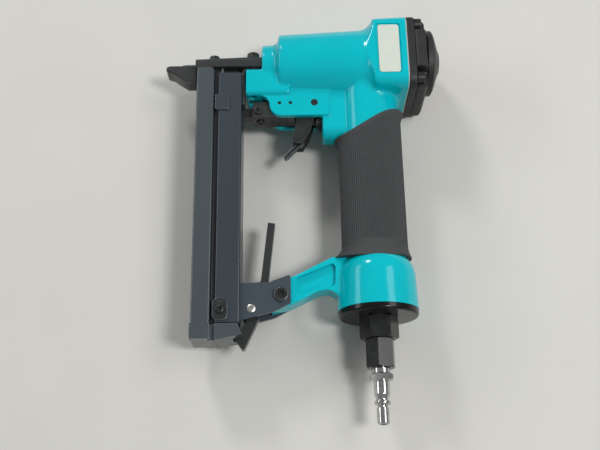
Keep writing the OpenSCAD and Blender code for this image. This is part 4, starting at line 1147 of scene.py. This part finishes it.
@dataclass
class HeadCap:
    """The nylon cap on the head with its bolts, gasket and exhaust deflector."""

    cap_x: float = 139.0
    flange_x: float = 143.4
    flange_edge: float = 0.7
    body_x: float = 150.2
    body_edge: float = 2.8
    ring_x: float = 150.6
    ring_edge: float = 0.3
    size: Point2 = (45.58, 45.98)
    corner: float = 6.4
    inset: float = 0.6
    bolt: Screw = Screw(Head.CAP, 7.0, 4.0, 4.0, 18.0, 3.4)
    bolt_ys: Point2 = (17.3, -17.3)
    bolt_z: float = 18.9
    pocket_z: float = 15.0
    pocket_w: float = 16.0
    pocket_corner: float = 1.2
    pocket_floor: float = 0.2
    pocket_edge: float = 0.3
    upper_pocket: Point2 = (12.4, 26.0)
    lower_pocket: Point2 = (-21.5, -11.4)
    ledge: Point2 = (5.0, 12.0)
    ledge_corner: float = 0.6
    ledge_shift: Point2 = (-1.4, 5.2)
    guide_x: Point2 = (128.2, 139.4)
    guide_radii: Point2 = (11.1, 13.0)
    exhaust_y: float = 2.6
    exhaust_r: float = 19.0
    dome_x: float = 150.8
    dome_h: float = 8.4
    outlet_x: Point2 = (1.4, 3.6)
    outlet_y: Point2 = (2.0, 10.0)
    centre_screw: Screw = Screw(Head.BUTTON, 8.0, 2.2, 4.0, 12.0, 3.4)
    screw_sink: float = 2.8

    def build(self) -> None:
        """Models the cap and all that sits on it."""
        self.cap()
        self.bolts()
        self.deflector()
        FIBRE.dress("cap_gasket")

    def cap(self) -> None:
        """Models the cap: flange, stepped body, round seat of the deflector and bolt pockets."""
        width, height = (size - 2 * self.inset for size in self.size)
        outline = round_box(*self.size, self.corner, steps=10)
        inner = round_box(width, height, self.corner - self.inset, steps=10)
        cap = Piece.prism("head_cap_nylon", outline, Plane.YZ, self.cap_x, self.flange_x)
        cap.round_edges(self.flange_edge, 40, 4)
        upper = Piece.prism("upper", inner, Plane.YZ, self.flange_x - LAP, self.body_x)
        cap.combine(upper.round_edges(self.body_edge, 40, 5), Cut.ADD)
        r, edge = self.exhaust_r - self.ring_edge, self.ring_edge
        seat = [(self.body_x - LAP, 0.0), (self.body_x - LAP, r),
                *arc((self.ring_x - edge, r - edge), edge, 90, 0, 4), (self.ring_x, 0.0)]
        cap.combine(Piece.turned("seat", seat, Axis.DRIVE, (0.0, self.exhaust_y, 0.0), 80), Cut.ADD)
        floor, top = self.flange_x + self.pocket_floor, self.body_x + PAST
        for low, high in (self.upper_pocket, self.lower_pocket):
            for side in (-1, 1):
                middle = ((low + high) / 2, side * (self.pocket_z + self.pocket_w / 2))
                hole = round_box(high - low, self.pocket_w, self.pocket_corner, middle)
                cap.combine(Piece.prism("pocket", hole, Plane.YZ, floor, top))
        down, out = self.ledge_shift
        at = (self.lower_pocket[0] + down, self.size[1] / 2 - self.inset + out)
        ledge = round_box(*self.ledge, self.ledge_corner, at)
        cap.combine(Piece.prism("ledge", ledge, Plane.YZ, floor, top))
        cap.round_edges(self.pocket_edge, 50, 2)
        (start, end), (inside, outside) = self.guide_x, self.guide_radii
        guide = [(start, inside), (start, outside), (end, outside), (end, inside)]
        cap.join(Piece.turned("guide", guide, Axis.DRIVE))
        cap.hand_over("tool_body", NYLON, "cap_plastic", "head_cap")

    def bolts(self) -> None:
        """Models one cap bolt and copies it to the four corners."""
        first = self.bolt.model("cap_bolts_oxide")
        x = self.flange_x + self.pocket_floor
        spots = [(x, y, side * self.bolt_z) for y in self.bolt_ys for side in (-1, 1)]
        copies = [first.copy(aim(spot, (1, 0, 0))) for spot in spots[1:]]
        first.place(aim(spots[0], (1, 0, 0))).join(*copies)
        first.hand_over("tool_body", OXIDE, "fastener_black", "cap_bolts")

    def deflector(self) -> None:
        """Turns the exhaust deflector with its outlet slot on the far side, and its centre screw."""
        r, h, x, y = self.exhaust_r, self.dome_h, self.dome_x, self.exhaust_y
        at = (0.0, y, 0.0)
        profile = [(x + 0.3, 2.2), (x + 0.3, r - 0.2), (x + 0.5, r), (x + 3.2, r), (x + 3.8, r - 0.5),
                   (x + 4.5, r - 1.9), (x + 5.4, r - 4.4), (x + 6.4, r - 7.6), (x + 7.3, r - 10.2),
                   (x + 8.0, r - 11.9), (x + h, r - 12.7), (x + h, 4.8), (x + h - 0.3, 4.5),
                   (x + h - 3, 4.4), (x + h - 3, 2.2)]
        dome = Piece.turned("exhaust_deflector_nylon", profile, Axis.DRIVE, at, FINE_FACETS)
        room = [(x - 1, 6.0), (x - 1, r - 5), (x + 3, r - 5), (x + h - 2.6, 9.0), (x + h - 2.6, 6.0)]
        dome.combine(Piece.turned("room", room, Axis.DRIVE, at))
        (x0, x1), (y0, y1) = self.outlet_x, self.outlet_y
        dome.combine(Piece.block("outlet", (x + x0, y + y0, -r - 4 * LAP), (x + x1, y + y1, 0.0)))
        dome.hand_over("exhaust", NYLON, "cap_plastic", "exhaust_deflector")
        middle = self.centre_screw.model("exhaust_screw_oxide")
        middle.place(aim((x + h - self.screw_sink, y, 0.0), (1, 0, 0)))
        middle.hand_over("tool_body", OXIDE, "fastener_black", "exhaust_screw")


@dataclass
class Nose:
    """Driver guide, front plate, their screws and the bent support strip."""

    nose_l: float = 17.7
    neck_x: float = 56.0
    face_y: float = 0.5
    back_y: float = -3.7
    front_y: float = 2.3
    wedge_x: float = 46.8
    wedge_y: float = 1.3
    guide_half: float = 11.0
    guide_edge: float = 0.4
    nose_half: float = 5.5
    nose_edge: float = 0.7
    # Middle and radius of the round tip
    knob: Point3 = (2.05, -1.55, 2.05)
    chin: tuple[Point2, ...] = ((4.3, -4.4), (5.4, -5.5), (12.4, -10.3))
    notch_half: float = 8.0
    notch_x: Point2 = (-0.1, 3.0)
    notch_y: float = -14.0
    # Depth and half width of the staple slot
    slot: Point2 = (0.5, 4.6)
    feed_x: Point2 = (19.2, 34.8)
    plate_edge: float = 0.35
    tongue_x: Point2 = (8.6, 11.0)
    tongue_in: float = 0.5
    tongue_sink: float = 0.1
    tongue_edge: float = 0.2
    front_screw: Screw = Screw(Head.CAP, 6.0, 2.8, 4.0, 4.7, 3.4)
    front_screw_x: float = 28.5
    front_seat: float = 1.5
    seat_r: float = 3.2
    nose_screw: Screw = Screw(Head.CAP, 7.0, 3.6, 4.0, 18.5, 3.4)
    nose_screw_x: float = 50.8
    screw_z: float = 7.4
    strip_x: Point2 = (44.5, 46.0)
    strip_y: Point2 = (-5.2, -27.0)
    strip_bends: Point2 = (3.0, 1.5)
    strip_half: float = 9.0
    strip_edge: float = 0.35

    def build(self) -> None:
        """Models the nose group."""
        self.guide()
        self.plate()
        self.screws()
        self.strip()

    def guide(self) -> None:
        """Models the driver guide with the nose, its round tip and its staple slot."""
        x, y, r = self.knob
        root = self.nose_l + LAP
        side = [(root, self.face_y), *arc((x, y), r, 90, 250, 8), *self.chin, (root, self.chin[-1][1])]
        nose = Piece.prism("driver_guide_steel", side, Plane.XY, -self.nose_half, self.nose_half)
        nose.round_edges(self.nose_edge, 35)
        plate = Piece.block("plate", (self.nose_l, self.back_y, -self.guide_half),
                            (self.neck_x, self.face_y, self.guide_half))
        nose.combine(plate.round_edges(self.guide_edge, 30, 2), Cut.ADD)
        (start, end), half = self.notch_x, self.notch_half
        nose.combine(Piece.block("under", (self.nose_l + start, self.notch_y, -half),
                                 (self.nose_l + end, self.back_y, half)))
        depth, half = self.slot
        nose.combine(Piece.block("slot", (-LAP, -depth, -half), (self.neck_x + LAP, 2 * LAP, half)))
        start, end = self.feed_x
        nose.combine(Piece.block("feed", (start, self.back_y - LAP, -half), (end, 0.0, half)))
        nose.close_holes()
        nose.face_outwards()
        nose.hand_over("tool_body", RUBBED, "nose_steel", "driver_guide").paint_edge_highlights(EDGE_HIGHLIGHT)

    def plate(self) -> None:
        """Models the front plate, which thins towards the nose, with its tongue over the nose."""
        side = [(self.nose_l, self.face_y), (self.neck_x, self.face_y), (self.neck_x, self.front_y),
                (self.wedge_x, self.front_y), (self.nose_l, self.wedge_y)]
        plate = Piece.prism("front_plate_steel", side, Plane.XY, -self.guide_half, self.guide_half)
        plate.round_edges(self.plate_edge, 30)
        (low, high), root, top = self.tongue_x, self.nose_l + LAP, self.wedge_y - self.tongue_sink
        tip = [(low, self.face_y), (root, self.face_y), (root, top), (high, top)]
        half = self.nose_half - self.tongue_in
        tongue = Piece.prism("tongue", tip, Plane.XY, -half, half)
        plate.combine(tongue.round_edges(self.tongue_edge, 20, 2), Cut.ADD)
        seat = -self.front_seat
        for z in (-self.screw_z, self.screw_z):
            at = (self.front_screw_x, 0.0, z)
            plate.combine(Piece.rod(Axis.HANDLE, self.seat_r, at, seat - 3 * LAP, seat))
        plate.hand_over("tool_body", RUBBED, "nose_steel", "front_plate").paint_edge_highlights(EDGE_HIGHLIGHT)

    def screws(self) -> None:
        """Sets two short and two long cap screws into the front plate."""
        for node, kind, x, y in (
            ("front_plate_screws", self.front_screw, self.front_screw_x, self.front_seat),
            ("nose_screws", self.nose_screw, self.nose_screw_x, self.front_y),
        ):
            first = kind.model(node + "_oxide")
            other = first.copy(aim((x, y, -self.screw_z), (0, 1, 0)))
            first.place(aim((x, y, self.screw_z), (0, 1, 0))).join(other)
            first.hand_over("tool_body", OXIDE, "fastener_black", node)

    def strip(self) -> None:
        """Models the strip that is bent down from the guide along the magazine."""
        (x0, x1), (y0, y1) = self.strip_x, self.strip_y
        outer, inner = self.strip_bends
        side = [*arc((x0 + outer, self.back_y - outer), outer, 180, 90, 6), (self.neck_x, self.back_y),
                (self.neck_x, y0), *arc((x1 + inner, y0 - inner), inner, 90, 180, 6), (x1, y1), (x0, y1)]
        strip = Piece.prism("support_strip_steel", side, Plane.XY, -self.strip_half, self.strip_half)
        strip.round_edges(self.strip_edge, 40)
        strip.hand_over("tool_body", OXIDE, "nose_steel", "support_strip").paint_edge_highlights(EDGE_HIGHLIGHT)


@dataclass
class Magazine:
    """The fixed channel, the slide below it and what sits on and in them."""

    slide_x: Point2 = (18.7, 28.8)
    channel_x: Point2 = (31.4, 44.5)
    half: float = 11.5
    sheet: float = 1.5
    fold: float = 1.4
    sheet_edge: float = 0.3
    slide_y: float = -4.0
    slide_corner: float = 2.6
    channel_y: float = -8.0
    channel_corner: float = 1.6
    end_y: float = -154.0
    lip_in: float = 9.2
    lip_h: float = 1.2
    # Inner and outer face of the flange, from the middle
    flange: Point2 = (7.7, 8.9)
    # Lower and upper edge of the bead, above the lips of the channel
    bead_x: Point2 = (1.5, 2.7)
    bead_out: float = 9.7
    # Distance past the step at which the painted groove shade starts
    groove_shade_line: float = 0.02
    end_edge: float = 0.5
    clip_at: Point2 = (33.6, -27.0)
    clip_size: Point2 = (8.0, 9.6)
    clip_corner: float = 0.9
    plate_h: float = 1.0
    plate_edge: float = 0.35
    stop_at: Point2 = (34.2, -147.4)
    stop_size: Point2 = (8.2, 12.2)
    stop_corner: float = 3.2
    stop_shift: float = 0.2
    stop_screw: Screw = Screw(Head.BUTTON, 5.2, 1.4, 3.0, 2.4, 2.5)
    # Spare hole: radius, distance from the screw and height of its floor
    hole: Point3 = (0.7, 4.4, 0.3)

    def build(self) -> None:
        """Models the magazine."""
        self.channel()
        self.slide()
        self.end_cap()
        self.clip()
        self.stop()
        STEEL.dress("core_rail", "spring_rod")
        OXIDE.dress("pusher")

    def channel(self) -> None:
        """Folds the fixed channel: top, two walls and the lips that hold the slide."""
        low, top = self.channel_x
        inner, lip = self.half - self.sheet, low + self.lip_h
        section = [(top, self.half), (low, self.half), (low, self.lip_in), (lip, self.lip_in),
                   (lip, inner), (top - self.sheet, inner)]
        channel = self.folded("magazine_channel_sheet", section, self.channel_y)
        y, cut = self.channel_y, self.channel_corner
        corner = [(low - 0.5, y + 0.5), (low + cut, y + 0.5), (low - 0.5, y - cut)]
        channel.combine(Piece.prism("corner", corner, Plane.XY, -PAST, PAST))
        channel.round_edges(self.sheet_edge, 40, 2)
        channel.hand_over("tool_body", SHEET, "magazine_steel", "magazine_channel").paint_edge_highlights(EDGE_HIGHLIGHT)

    def folded(self, name: str, section: Sequence[Point2], top_y: float) -> Piece:
        """Draws a folded section out along the magazine, with round folds.

        Args:
            name: Name of the piece.
            section: Corners of the near half of the section in X and Z.
            top_y: Height at which the sheet starts.

        Returns:
            The new piece.
        """
        closed = [*section, *((x, -z) for x, z in reversed(section))]
        return Piece.prism(name, soften(closed, self.fold), Plane.XZ, self.end_y, top_y)

    def slide(self) -> None:
        """Folds the slide: base, walls, the step inwards and the flange with its bead."""
        low, groove = self.slide_x
        inner, step = self.half - self.sheet, groove - self.sheet
        inside, outside = self.flange
        under, top = (self.channel_x[0] + x for x in self.bead_x)
        section = [(low, self.half), (groove, self.half), (groove, outside), (under, outside),
                   (under, self.bead_out), (top, self.bead_out), (top, inside),
                   (step, inside), (step, inner), (low + self.sheet, inner)]
        slide = self.folded("slide_channel_sheet", section, self.slide_y)
        y, r = self.slide_y, self.slide_corner
        edge = [(groove + 0.1, y + 0.2), (groove - r, y + 0.2), *arc((groove - r, y - r), r, 90, 0, 6),
                (groove + 0.1, y - r)]
        slide.combine(Piece.prism("edge", edge, Plane.XY, -PAST, PAST))
        slide.round_edges(self.sheet_edge, 40, 2)
        slide.hand_over("magazine_slide", SLIDE, "magazine_steel", "slide_channel")
        # The faces in the groove get the dark finish of painted shade
        slide.patch(GROOVE_SHADE, lambda p: p.x > groove + self.groove_shade_line)
        slide.paint_edge_highlights(EDGE_HIGHLIGHT)

    def end_cap(self) -> None:
        """Rounds the edges of the slide's end cap."""
        cap = Piece.from_solid("slide_end_cap_steel", "slide_end_cap").round_edges(self.end_edge, 30)
        cap.hand_over("magazine_slide", SLIDE, "bracket_steel", "slide_end_cap").paint_edge_highlights(EDGE_HIGHLIGHT)

    def side_plate(self, name: str, outline: Sequence[Point2]) -> Piece:
        """Lays a thin plate with round edges on the near side of the channel."""
        plate = Piece.prism(name, outline, Plane.XY, self.half, self.half + self.plate_h)
        return plate.round_edges(self.plate_edge, 40)

    def clip(self) -> None:
        """Models the square guide clip."""
        clip = self.side_plate("guide_clip_steel", round_box(*self.clip_size, self.clip_corner, self.clip_at))
        clip.hand_over("tool_body", SHEET, "magazine_steel", "guide_clip").paint_edge_highlights(EDGE_HIGHLIGHT)

    def stop(self) -> None:
        """Models the stop plate with round ends, its screw and its spare hole."""
        x, y = self.stop_at
        outline = round_box(*self.stop_size, self.stop_corner, (x, y + self.stop_shift))
        plate = self.side_plate("stop_plate_steel", outline)
        r, up, floor = self.hole
        plate.combine(Piece.rod(Axis.ACROSS, r, (x, y + up, 0.0), self.half + floor, self.half + 3 * LAP))
        plate.hand_over("tool_body", PRESSED, "bracket_steel", "stop_plate").paint_edge_highlights(EDGE_HIGHLIGHT)
        stop = self.stop_screw.model("stop_screw_oxide")
        stop.place(aim((x, y, self.half + self.plate_h), (0, 0, 1)))
        stop.hand_over("tool_body", OXIDE, "fastener_black", "stop_screw")


@dataclass
class Brackets:
    """The front and rear brackets, their fasteners and the latch."""

    bolt: Screw = Screw(Head.CAP, 7.6, 2.4, 5.0, 20.6, 4.0)
    bolt_at: Point2 = (66.0, -139.0)
    rivet_at: Point2 = (50.2, -146.2)
    plate_half: float = 8.1
    bracket_screw: Screw = Screw(Head.CAP, 4.4, 1.2, 3.0, 4.4, 2.3)
    lug_screw: Point2 = (53.4, -30.4)
    web_screw: Point2 = (54.8, -34.0)
    bracket_half: float = 6.8

    def build(self) -> None:
        """Models the brackets and the latch."""
        for node, body, finish, edge in (
            ("front_bracket", "tool_body", RUBBED, 0.3),
            ("magazine_lug", "tool_body", PRESSED, 0.5),
            ("rear_bracket", "tool_body", BLUED, 0.4),
            ("latch_lever", "latch", RUBBED, 0.9),
        ):
            piece = Piece.from_solid(node + "_steel", node).round_edges(edge, 30)
            piece.hand_over(body, finish, "bracket_steel", node).paint_edge_highlights(EDGE_HIGHLIGHT)
        OXIDE.dress("roll_pins", "rear_nut")
        self.fasteners()

    def fasteners(self) -> None:
        """Sets the bracket screws, the arm's bolt and the rivet of the latch."""
        first = self.bracket_screw.model("bracket_screws_oxide")
        other = first.copy(aim((*self.lug_screw, -self.bracket_half), FAR_SIDE))
        under = first.copy(aim((*self.web_screw, 0.0), (0, -1, 0)))
        first.place(aim((*self.lug_screw, self.bracket_half), (0, 0, 1))).join(other, under)
        first.hand_over("tool_body", OXIDE, "fastener_black", "bracket_screws")
        bolt = self.bolt.model("rear_bolt_oxide")
        bolt.place(aim((*self.bolt_at, self.plate_half), (0, 0, 1)))
        # The narrow faces of the head's rim get a painted highlight ring
        bolt.hand_over("tool_body", OXIDE, "fastener_black", "rear_bolt").paint_edge_highlights(EDGE_HIGHLIGHT)
        edge = self.plate_half
        profile = [(-edge - 0.6, 0.0), (-edge - 0.6, 1.9), (-edge, 2.4), (-edge, 2.0), (edge, 2.0),
                   (edge, 2.35), (edge + 0.3, 2.25), (edge + 0.6, 1.6), (edge + 0.6, 0.7),
                   (edge + 0.35, 0.4), (edge + 0.35, 0.0)]
        rivet = Piece.turned("latch_rivet_zinc", profile, Axis.ACROSS, (*self.rivet_at, 0.0), ROD_FACETS)
        rivet.hand_over("tool_body", ZINC, "rivet_bright", "latch_rivet")


@dataclass
class TriggerGroup:
    """The trigger, its pins, the safety lever and the trigger valve."""

    trigger_edge: float = 0.4
    lever_edge: float = 0.35
    pin_edge: float = 0.3

    def build(self) -> None:
        """Rounds the pressed pieces and dresses the pins and the valve."""
        for node, edge in (("trigger", self.trigger_edge), ("safety_lever", self.lever_edge)):
            piece = Piece.from_solid(node + "_steel", node).round_edges(edge, 30)
            piece.hand_over(node, PRESSED, "trigger_steel", node).paint_edge_highlights(EDGE_HIGHLIGHT)
        pin = Piece.from_solid("trigger_pin_oxide", "trigger_pin").round_edges(self.pin_edge, 40, 2)
        pin.hand_over("tool_body", OXIDE, "fastener_black", "trigger_pin")
        OXIDE.dress("safety_pin", "valve_stem")
        NYLON.dress("valve_bushing")
        NITRILE.dress("valve_o_ring")


@dataclass
class Inlet:
    """The butt's end cap, the two black hexagons and the chrome air plug."""

    axis_x: float = 117.2
    cap_y: Point2 = (147.0, 150.4)
    cap_r: float = 21.4
    cap_edge: float = 1.4
    cap_bore: float = 6.1
    # Length and radius of the part inside the butt
    spigot: Point2 = (7.0, 15.9)
    # Start, end and width across flats of each hexagon
    bush: Point3 = (150.4, 162.0, 18.0)
    bush_bore: float = 3.55
    adaptor: Point3 = (162.0, 177.2, 14.0)
    adaptor_turn: float = 42.0
    adaptor_bore: float = 4.55
    plug_hex: Point3 = (180.2, 183.6, 11.4)
    nut_turn: float = 30.0
    nut_bore: float = 3.0
    plug_bore: float = 1.8
    # Length and radius of the part inside the adaptor
    thread: Point2 = (6.6, 4.4)
    hex_edge: float = 0.25
    # Heights of the upper and lower chamfer, and how far their cones miss the flats
    hex_chamfers: Point2 = (0.7, 0.9)
    hex_gap: float = 0.2

    def build(self) -> None:
        """Models the inlet pieces from the butt to the plug's tip."""
        at = (self.axis_x, 0.0, 0.0)
        (top, low), (length, inner) = self.cap_y, self.spigot
        r, edge = self.cap_r, self.cap_edge
        profile = [(top - length, self.cap_bore), (top - length, inner), (top, inner), (top, r),
                   *arc((low - edge, r - edge), edge, 90, 0, 5), (low, self.cap_bore)]
        cap = Piece.turned("butt_cap_lacquer", profile, Axis.HANDLE, at, FINE_FACETS)
        cap.hand_over("tool_body", LACQUER, "inlet_black", "butt_cap")
        bush = self.hexagon("inlet_bush_black", *self.bush, 0.0, self.bush_bore)
        bush.hand_over("tool_body", FITTING, "inlet_black", "inlet_bush")
        adaptor = self.hexagon("plug_adaptor_black", *self.adaptor, self.adaptor_turn, self.adaptor_bore)
        adaptor.hand_over("tool_body", FITTING, "inlet_black", "plug_adaptor")
        self.plug()

    def hexagon(self, name: str, top: float, low: float, flats: float, turn: float, bore: float) -> Piece:
        """Models a hexagon with chamfered corners and a bore.

        Args:
            name: Name of the piece.
            top: Depth at which it starts below the drive line.
            low: Depth at which it ends.
            flats: Width across flats.
            turn: Turn about the handle's axis, in degrees.
            bore: Radius of its bore.

        Returns:
            The new piece.
        """
        at = (self.axis_x, 0.0, 0.0)
        inner = flats / 2
        r = inner / math.cos(math.radians(30))
        hexagon = Piece.prism(name, hexagon_points((self.axis_x, 0.0), r, turn), Plane.XZ, -low, -top)
        (upper, lower), gap = self.hex_chamfers, self.hex_gap
        # The cones run on past both ends, so that no two faces fall together
        profile = [(top - upper / 2, 0.0), (top - upper / 2, mix(inner + gap, r + gap, -0.5)),
                   (top + upper, r + gap), (low - lower, r + gap),
                   (low + lower / 2, mix(r + gap, inner - gap, 1.5)), (low + lower / 2, 0.0)]
        hexagon.combine(Piece.turned("chamfer", profile, Axis.HANDLE, at, FINE_FACETS), Cut.KEEP)
        hexagon.combine(Piece.rod(Axis.HANDLE, bore, at, top - LAP, low + LAP))
        return hexagon.round_edges(self.hex_edge, 20)

    def plug(self) -> None:
        """Turns the air plug: collar, hexagon, body, neck, ring and tip."""
        at = (self.axis_x, 0.0, 0.0)
        start, end, flats = self.plug_hex
        bore, low = self.plug_bore, self.adaptor[1]
        length, r = self.thread
        profile = [(low - length, bore), (low - length, r), (low, r), (low, 4.7), (low + 0.2, 4.9),
                   (start - 0.5, 4.9), (start - 0.2, 4.5), (end + 0.1, 4.5), (end + 0.3, 3.8),
                   (end + 0.6, 3.8), (end + 0.9, 4.1), (end + 6.8, 4.1), (end + 7.4, 3.9), (end + 9.0, 3.2),
                   (end + 9.9, 3.2), (end + 10.2, 3.8), (end + 10.5, 4.15), (end + 10.9, 4.2),
                   (end + 11.7, 4.2), (end + 12.1, 3.9), (end + 12.7, 2.7), (end + 13.4, 2.6),
                   (end + 13.8, 3.2), (end + 21.3, 3.2), (end + 21.9, 2.7), (end + 22.1, 2.3),
                   (end + 22.1, bore)]
        plug = Piece.turned("air_plug_chrome", profile, Axis.HANDLE, at, 64)
        nut = self.hexagon("nut", start, end, flats, self.nut_turn, self.nut_bore)
        plug.combine(nut, Cut.ADD, "MANIFOLD")
        plug.hand_over("tool_body", CHROME, "plug_chrome", "air_plug")


@dataclass(frozen=True)
class Press:
    """How a joint squeezes a spring: its direction, the share that is left and the end that stays."""

    joint: str
    way: Point3
    keep: float
    low_stays: bool


@dataclass(frozen=True)
class Spring:
    """A coil spring in the place of its solid, measured at the middle of the wire."""

    node: str
    body: str
    radius: float
    wire: float
    turns: int
    axis: Axis
    press: Press | None = None
    wire_sides: int = 8
    per_turn: int = 20
    crease: float = 80.0

    def build(self) -> None:
        """Winds the spring, hands it over and gives it a mesh of its own where a joint presses it."""
        low, high = box_mm(self.node)
        middle = (low + high) / 2
        coil = Piece.loft(self.node + "_wire", self.rings(middle, high - low))
        coil.hand_over(self.body, STEEL, "inner_steel", self.node, angle=self.crease)
        if self.press:
            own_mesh(coil.obj)

    def rings(self, middle: Vector, room: Vector) -> list[list[Point3]]:
        """Lays rings of the wire's section along the helix.

        Args:
            middle: Middle of the coil, in millimetres.
            room: Size of the solid that the coil fills.

        Returns:
            The rings, from one end of the wire to the other.
        """
        along, out = (Vector(v) for v in self.axis.value)
        side = along.cross(out)
        size = abs(room.dot(along)) - self.wire
        start = middle - along * size / 2
        steps = self.turns * self.per_turn
        rise = size / steps
        chord = self.radius * math.tau / self.per_turn
        rings = []
        for i in range(steps + 1):
            a = math.tau * i / self.per_turn
            ray = out * math.cos(a) + side * math.sin(a)
            ahead = (side * math.cos(a) - out * math.sin(a)) * chord + along * rise
            up = ray.cross(ahead.normalized())
            spot = start + along * rise * i + ray * self.radius
            rings.append([tuple(spot + (ray * math.cos(b) + up * math.sin(b)) * self.wire / 2)
                          for b in (math.tau * k / self.wire_sides for k in range(self.wire_sides))])
        return rings


@dataclass
class InnerWorks:
    """The pieces inside: cylinder, piston, valves, seals and springs."""

    springs: tuple[Spring, ...] = (
        Spring("pusher_spring", "magazine_slide", 2.9, 0.7, 40, Axis.HANDLE,
               Press("pusher", (0, 1, 0), 0.305, True)),
        Spring("head_valve_spring", "tool_body", 6.6, 1.2, 5, Axis.DRIVE,
               Press("head_valve", (1, 0, 0), 0.82, False)),
        Spring("valve_spring", "tool_body", 2.4, 0.6, 7, Axis.DRIVE,
               Press("valve_stem", (1, 0, 0), 0.9, False)),
        Spring("latch_spring", "tool_body", 2.9, 0.6, 2, Axis.ACROSS),
    )

    def build(self) -> None:
        """Dresses the inner solids and winds the springs afresh."""
        ALLOY.dress("cylinder_sleeve", "piston")
        NITRILE.dress("cylinder_o_rings", "piston_o_ring", "head_valve_o_ring", "bumper", "exhaust_seal",
                      "butt_cap_seal")
        STEEL.dress("driver_blade", "driver_pin")
        NYLON.dress("head_valve")
        for spring in self.springs:
            spring.build()


@dataclass
class Studio:
    """The pale floor, the soft lights and the camera of the photograph."""

    target: Point3 = (76.457, -97.379, 0.0)
    distance: float = 467.5
    tilt: float = 20.0
    yaw: float = -0.9
    lens: float = 51.0
    sensor: float = 36.0
    near_clip: float = 10.0
    floor_at: Point3 = (80.0, -100.0, -23.2)
    floor_size: float = 4000.0
    lit_spot: Point3 = (80.0, -90.0, 0.0)
    room_colour: str = "#e8ebee"
    room_light: float = 0.33

    def build(self) -> None:
        """Sets up the stage."""
        self.floor()
        self.lights()
        self.room()
        self.camera()
        bpy.context.scene.view_settings.view_transform = "Standard"

    def floor(self) -> None:
        """Lays a plain pale floor under the tool."""
        deselect_all()
        bpy.ops.mesh.primitive_plane_add(size=self.floor_size * MM, location=Vector(self.floor_at) * MM)
        floor = Piece("studio_floor")
        floor.obj.data.materials.append(PAPER.material())

    def lights(self) -> None:
        """Hangs a lamp overhead, one before the tool and a strip on each side."""
        middle = Vector(self.lit_spot) * MM
        # Place and size in metres, and power in watts
        for name, place, size, power in (
            ("high_lamp", (0.62, -0.35, 1.15), (0.25, 0.25), 7.5),
            ("front_lamp", (-0.45, 1.0, 0.8), (0.25, 0.25), 6.0),
            ("left_strip", (-0.95, 0.25, 0.55), (0.8, 0.3), 2.4),
            ("right_strip", (0.85, 0.1, 1.0), (0.7, 0.4), 3.2),
        ):
            deselect_all()
            bpy.ops.object.light_add(type="AREA", location=place)
            lamp = bpy.context.object
            lamp.name = name
            lamp.data.shape = "RECTANGLE"
            lamp.data.size, lamp.data.size_y = size
            lamp.data.energy = power
            lamp.rotation_euler = (middle - Vector(place)).to_track_quat("-Z", "Y").to_euler()

    def room(self) -> None:
        """Lights the room evenly."""
        world = bpy.data.worlds.new("studio_room")
        bpy.context.scene.world = world
        world.use_nodes = True
        backdrop = world.node_tree.nodes["Background"]
        backdrop.inputs["Color"].default_value = linear(self.room_colour)
        backdrop.inputs["Strength"].default_value = self.room_light

    def camera(self) -> None:
        """Places the camera at the photograph's angle."""
        yaw, tilt = math.radians(self.yaw), math.radians(self.tilt)
        ahead = Vector((-math.sin(yaw) * math.sin(tilt), math.cos(yaw) * math.sin(tilt), -math.cos(tilt)))
        up = Vector((-math.sin(yaw) * math.cos(tilt), math.cos(yaw) * math.cos(tilt), math.sin(tilt)))
        right = ahead.cross(up)
        deselect_all()
        bpy.ops.object.camera_add()
        camera = bpy.context.object
        camera.name = "photo_camera"
        place = Vector(self.target) * MM - ahead * self.distance * MM
        turn = Matrix((right, up, -ahead)).transposed().to_4x4()
        camera.matrix_world = Matrix.Translation(place) @ turn
        camera.data.lens = self.lens
        camera.data.sensor_width = self.sensor
        camera.data.clip_start = self.near_clip * MM
        bpy.context.scene.camera = camera


def main() -> None:
    """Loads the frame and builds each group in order."""
    logging.basicConfig(level=logging.INFO, format="%(name)s %(message)s")
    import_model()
    Studio().build()
    for group in (
        BodyCasting(), Grip(), HeadCap(), Nose(), Magazine(), Brackets(), TriggerGroup(), Inlet(),
        InnerWorks(),
    ):
        group.build()
        LOG.info("%s is done", type(group).__name__)


if __name__ == "__main__":
    main()
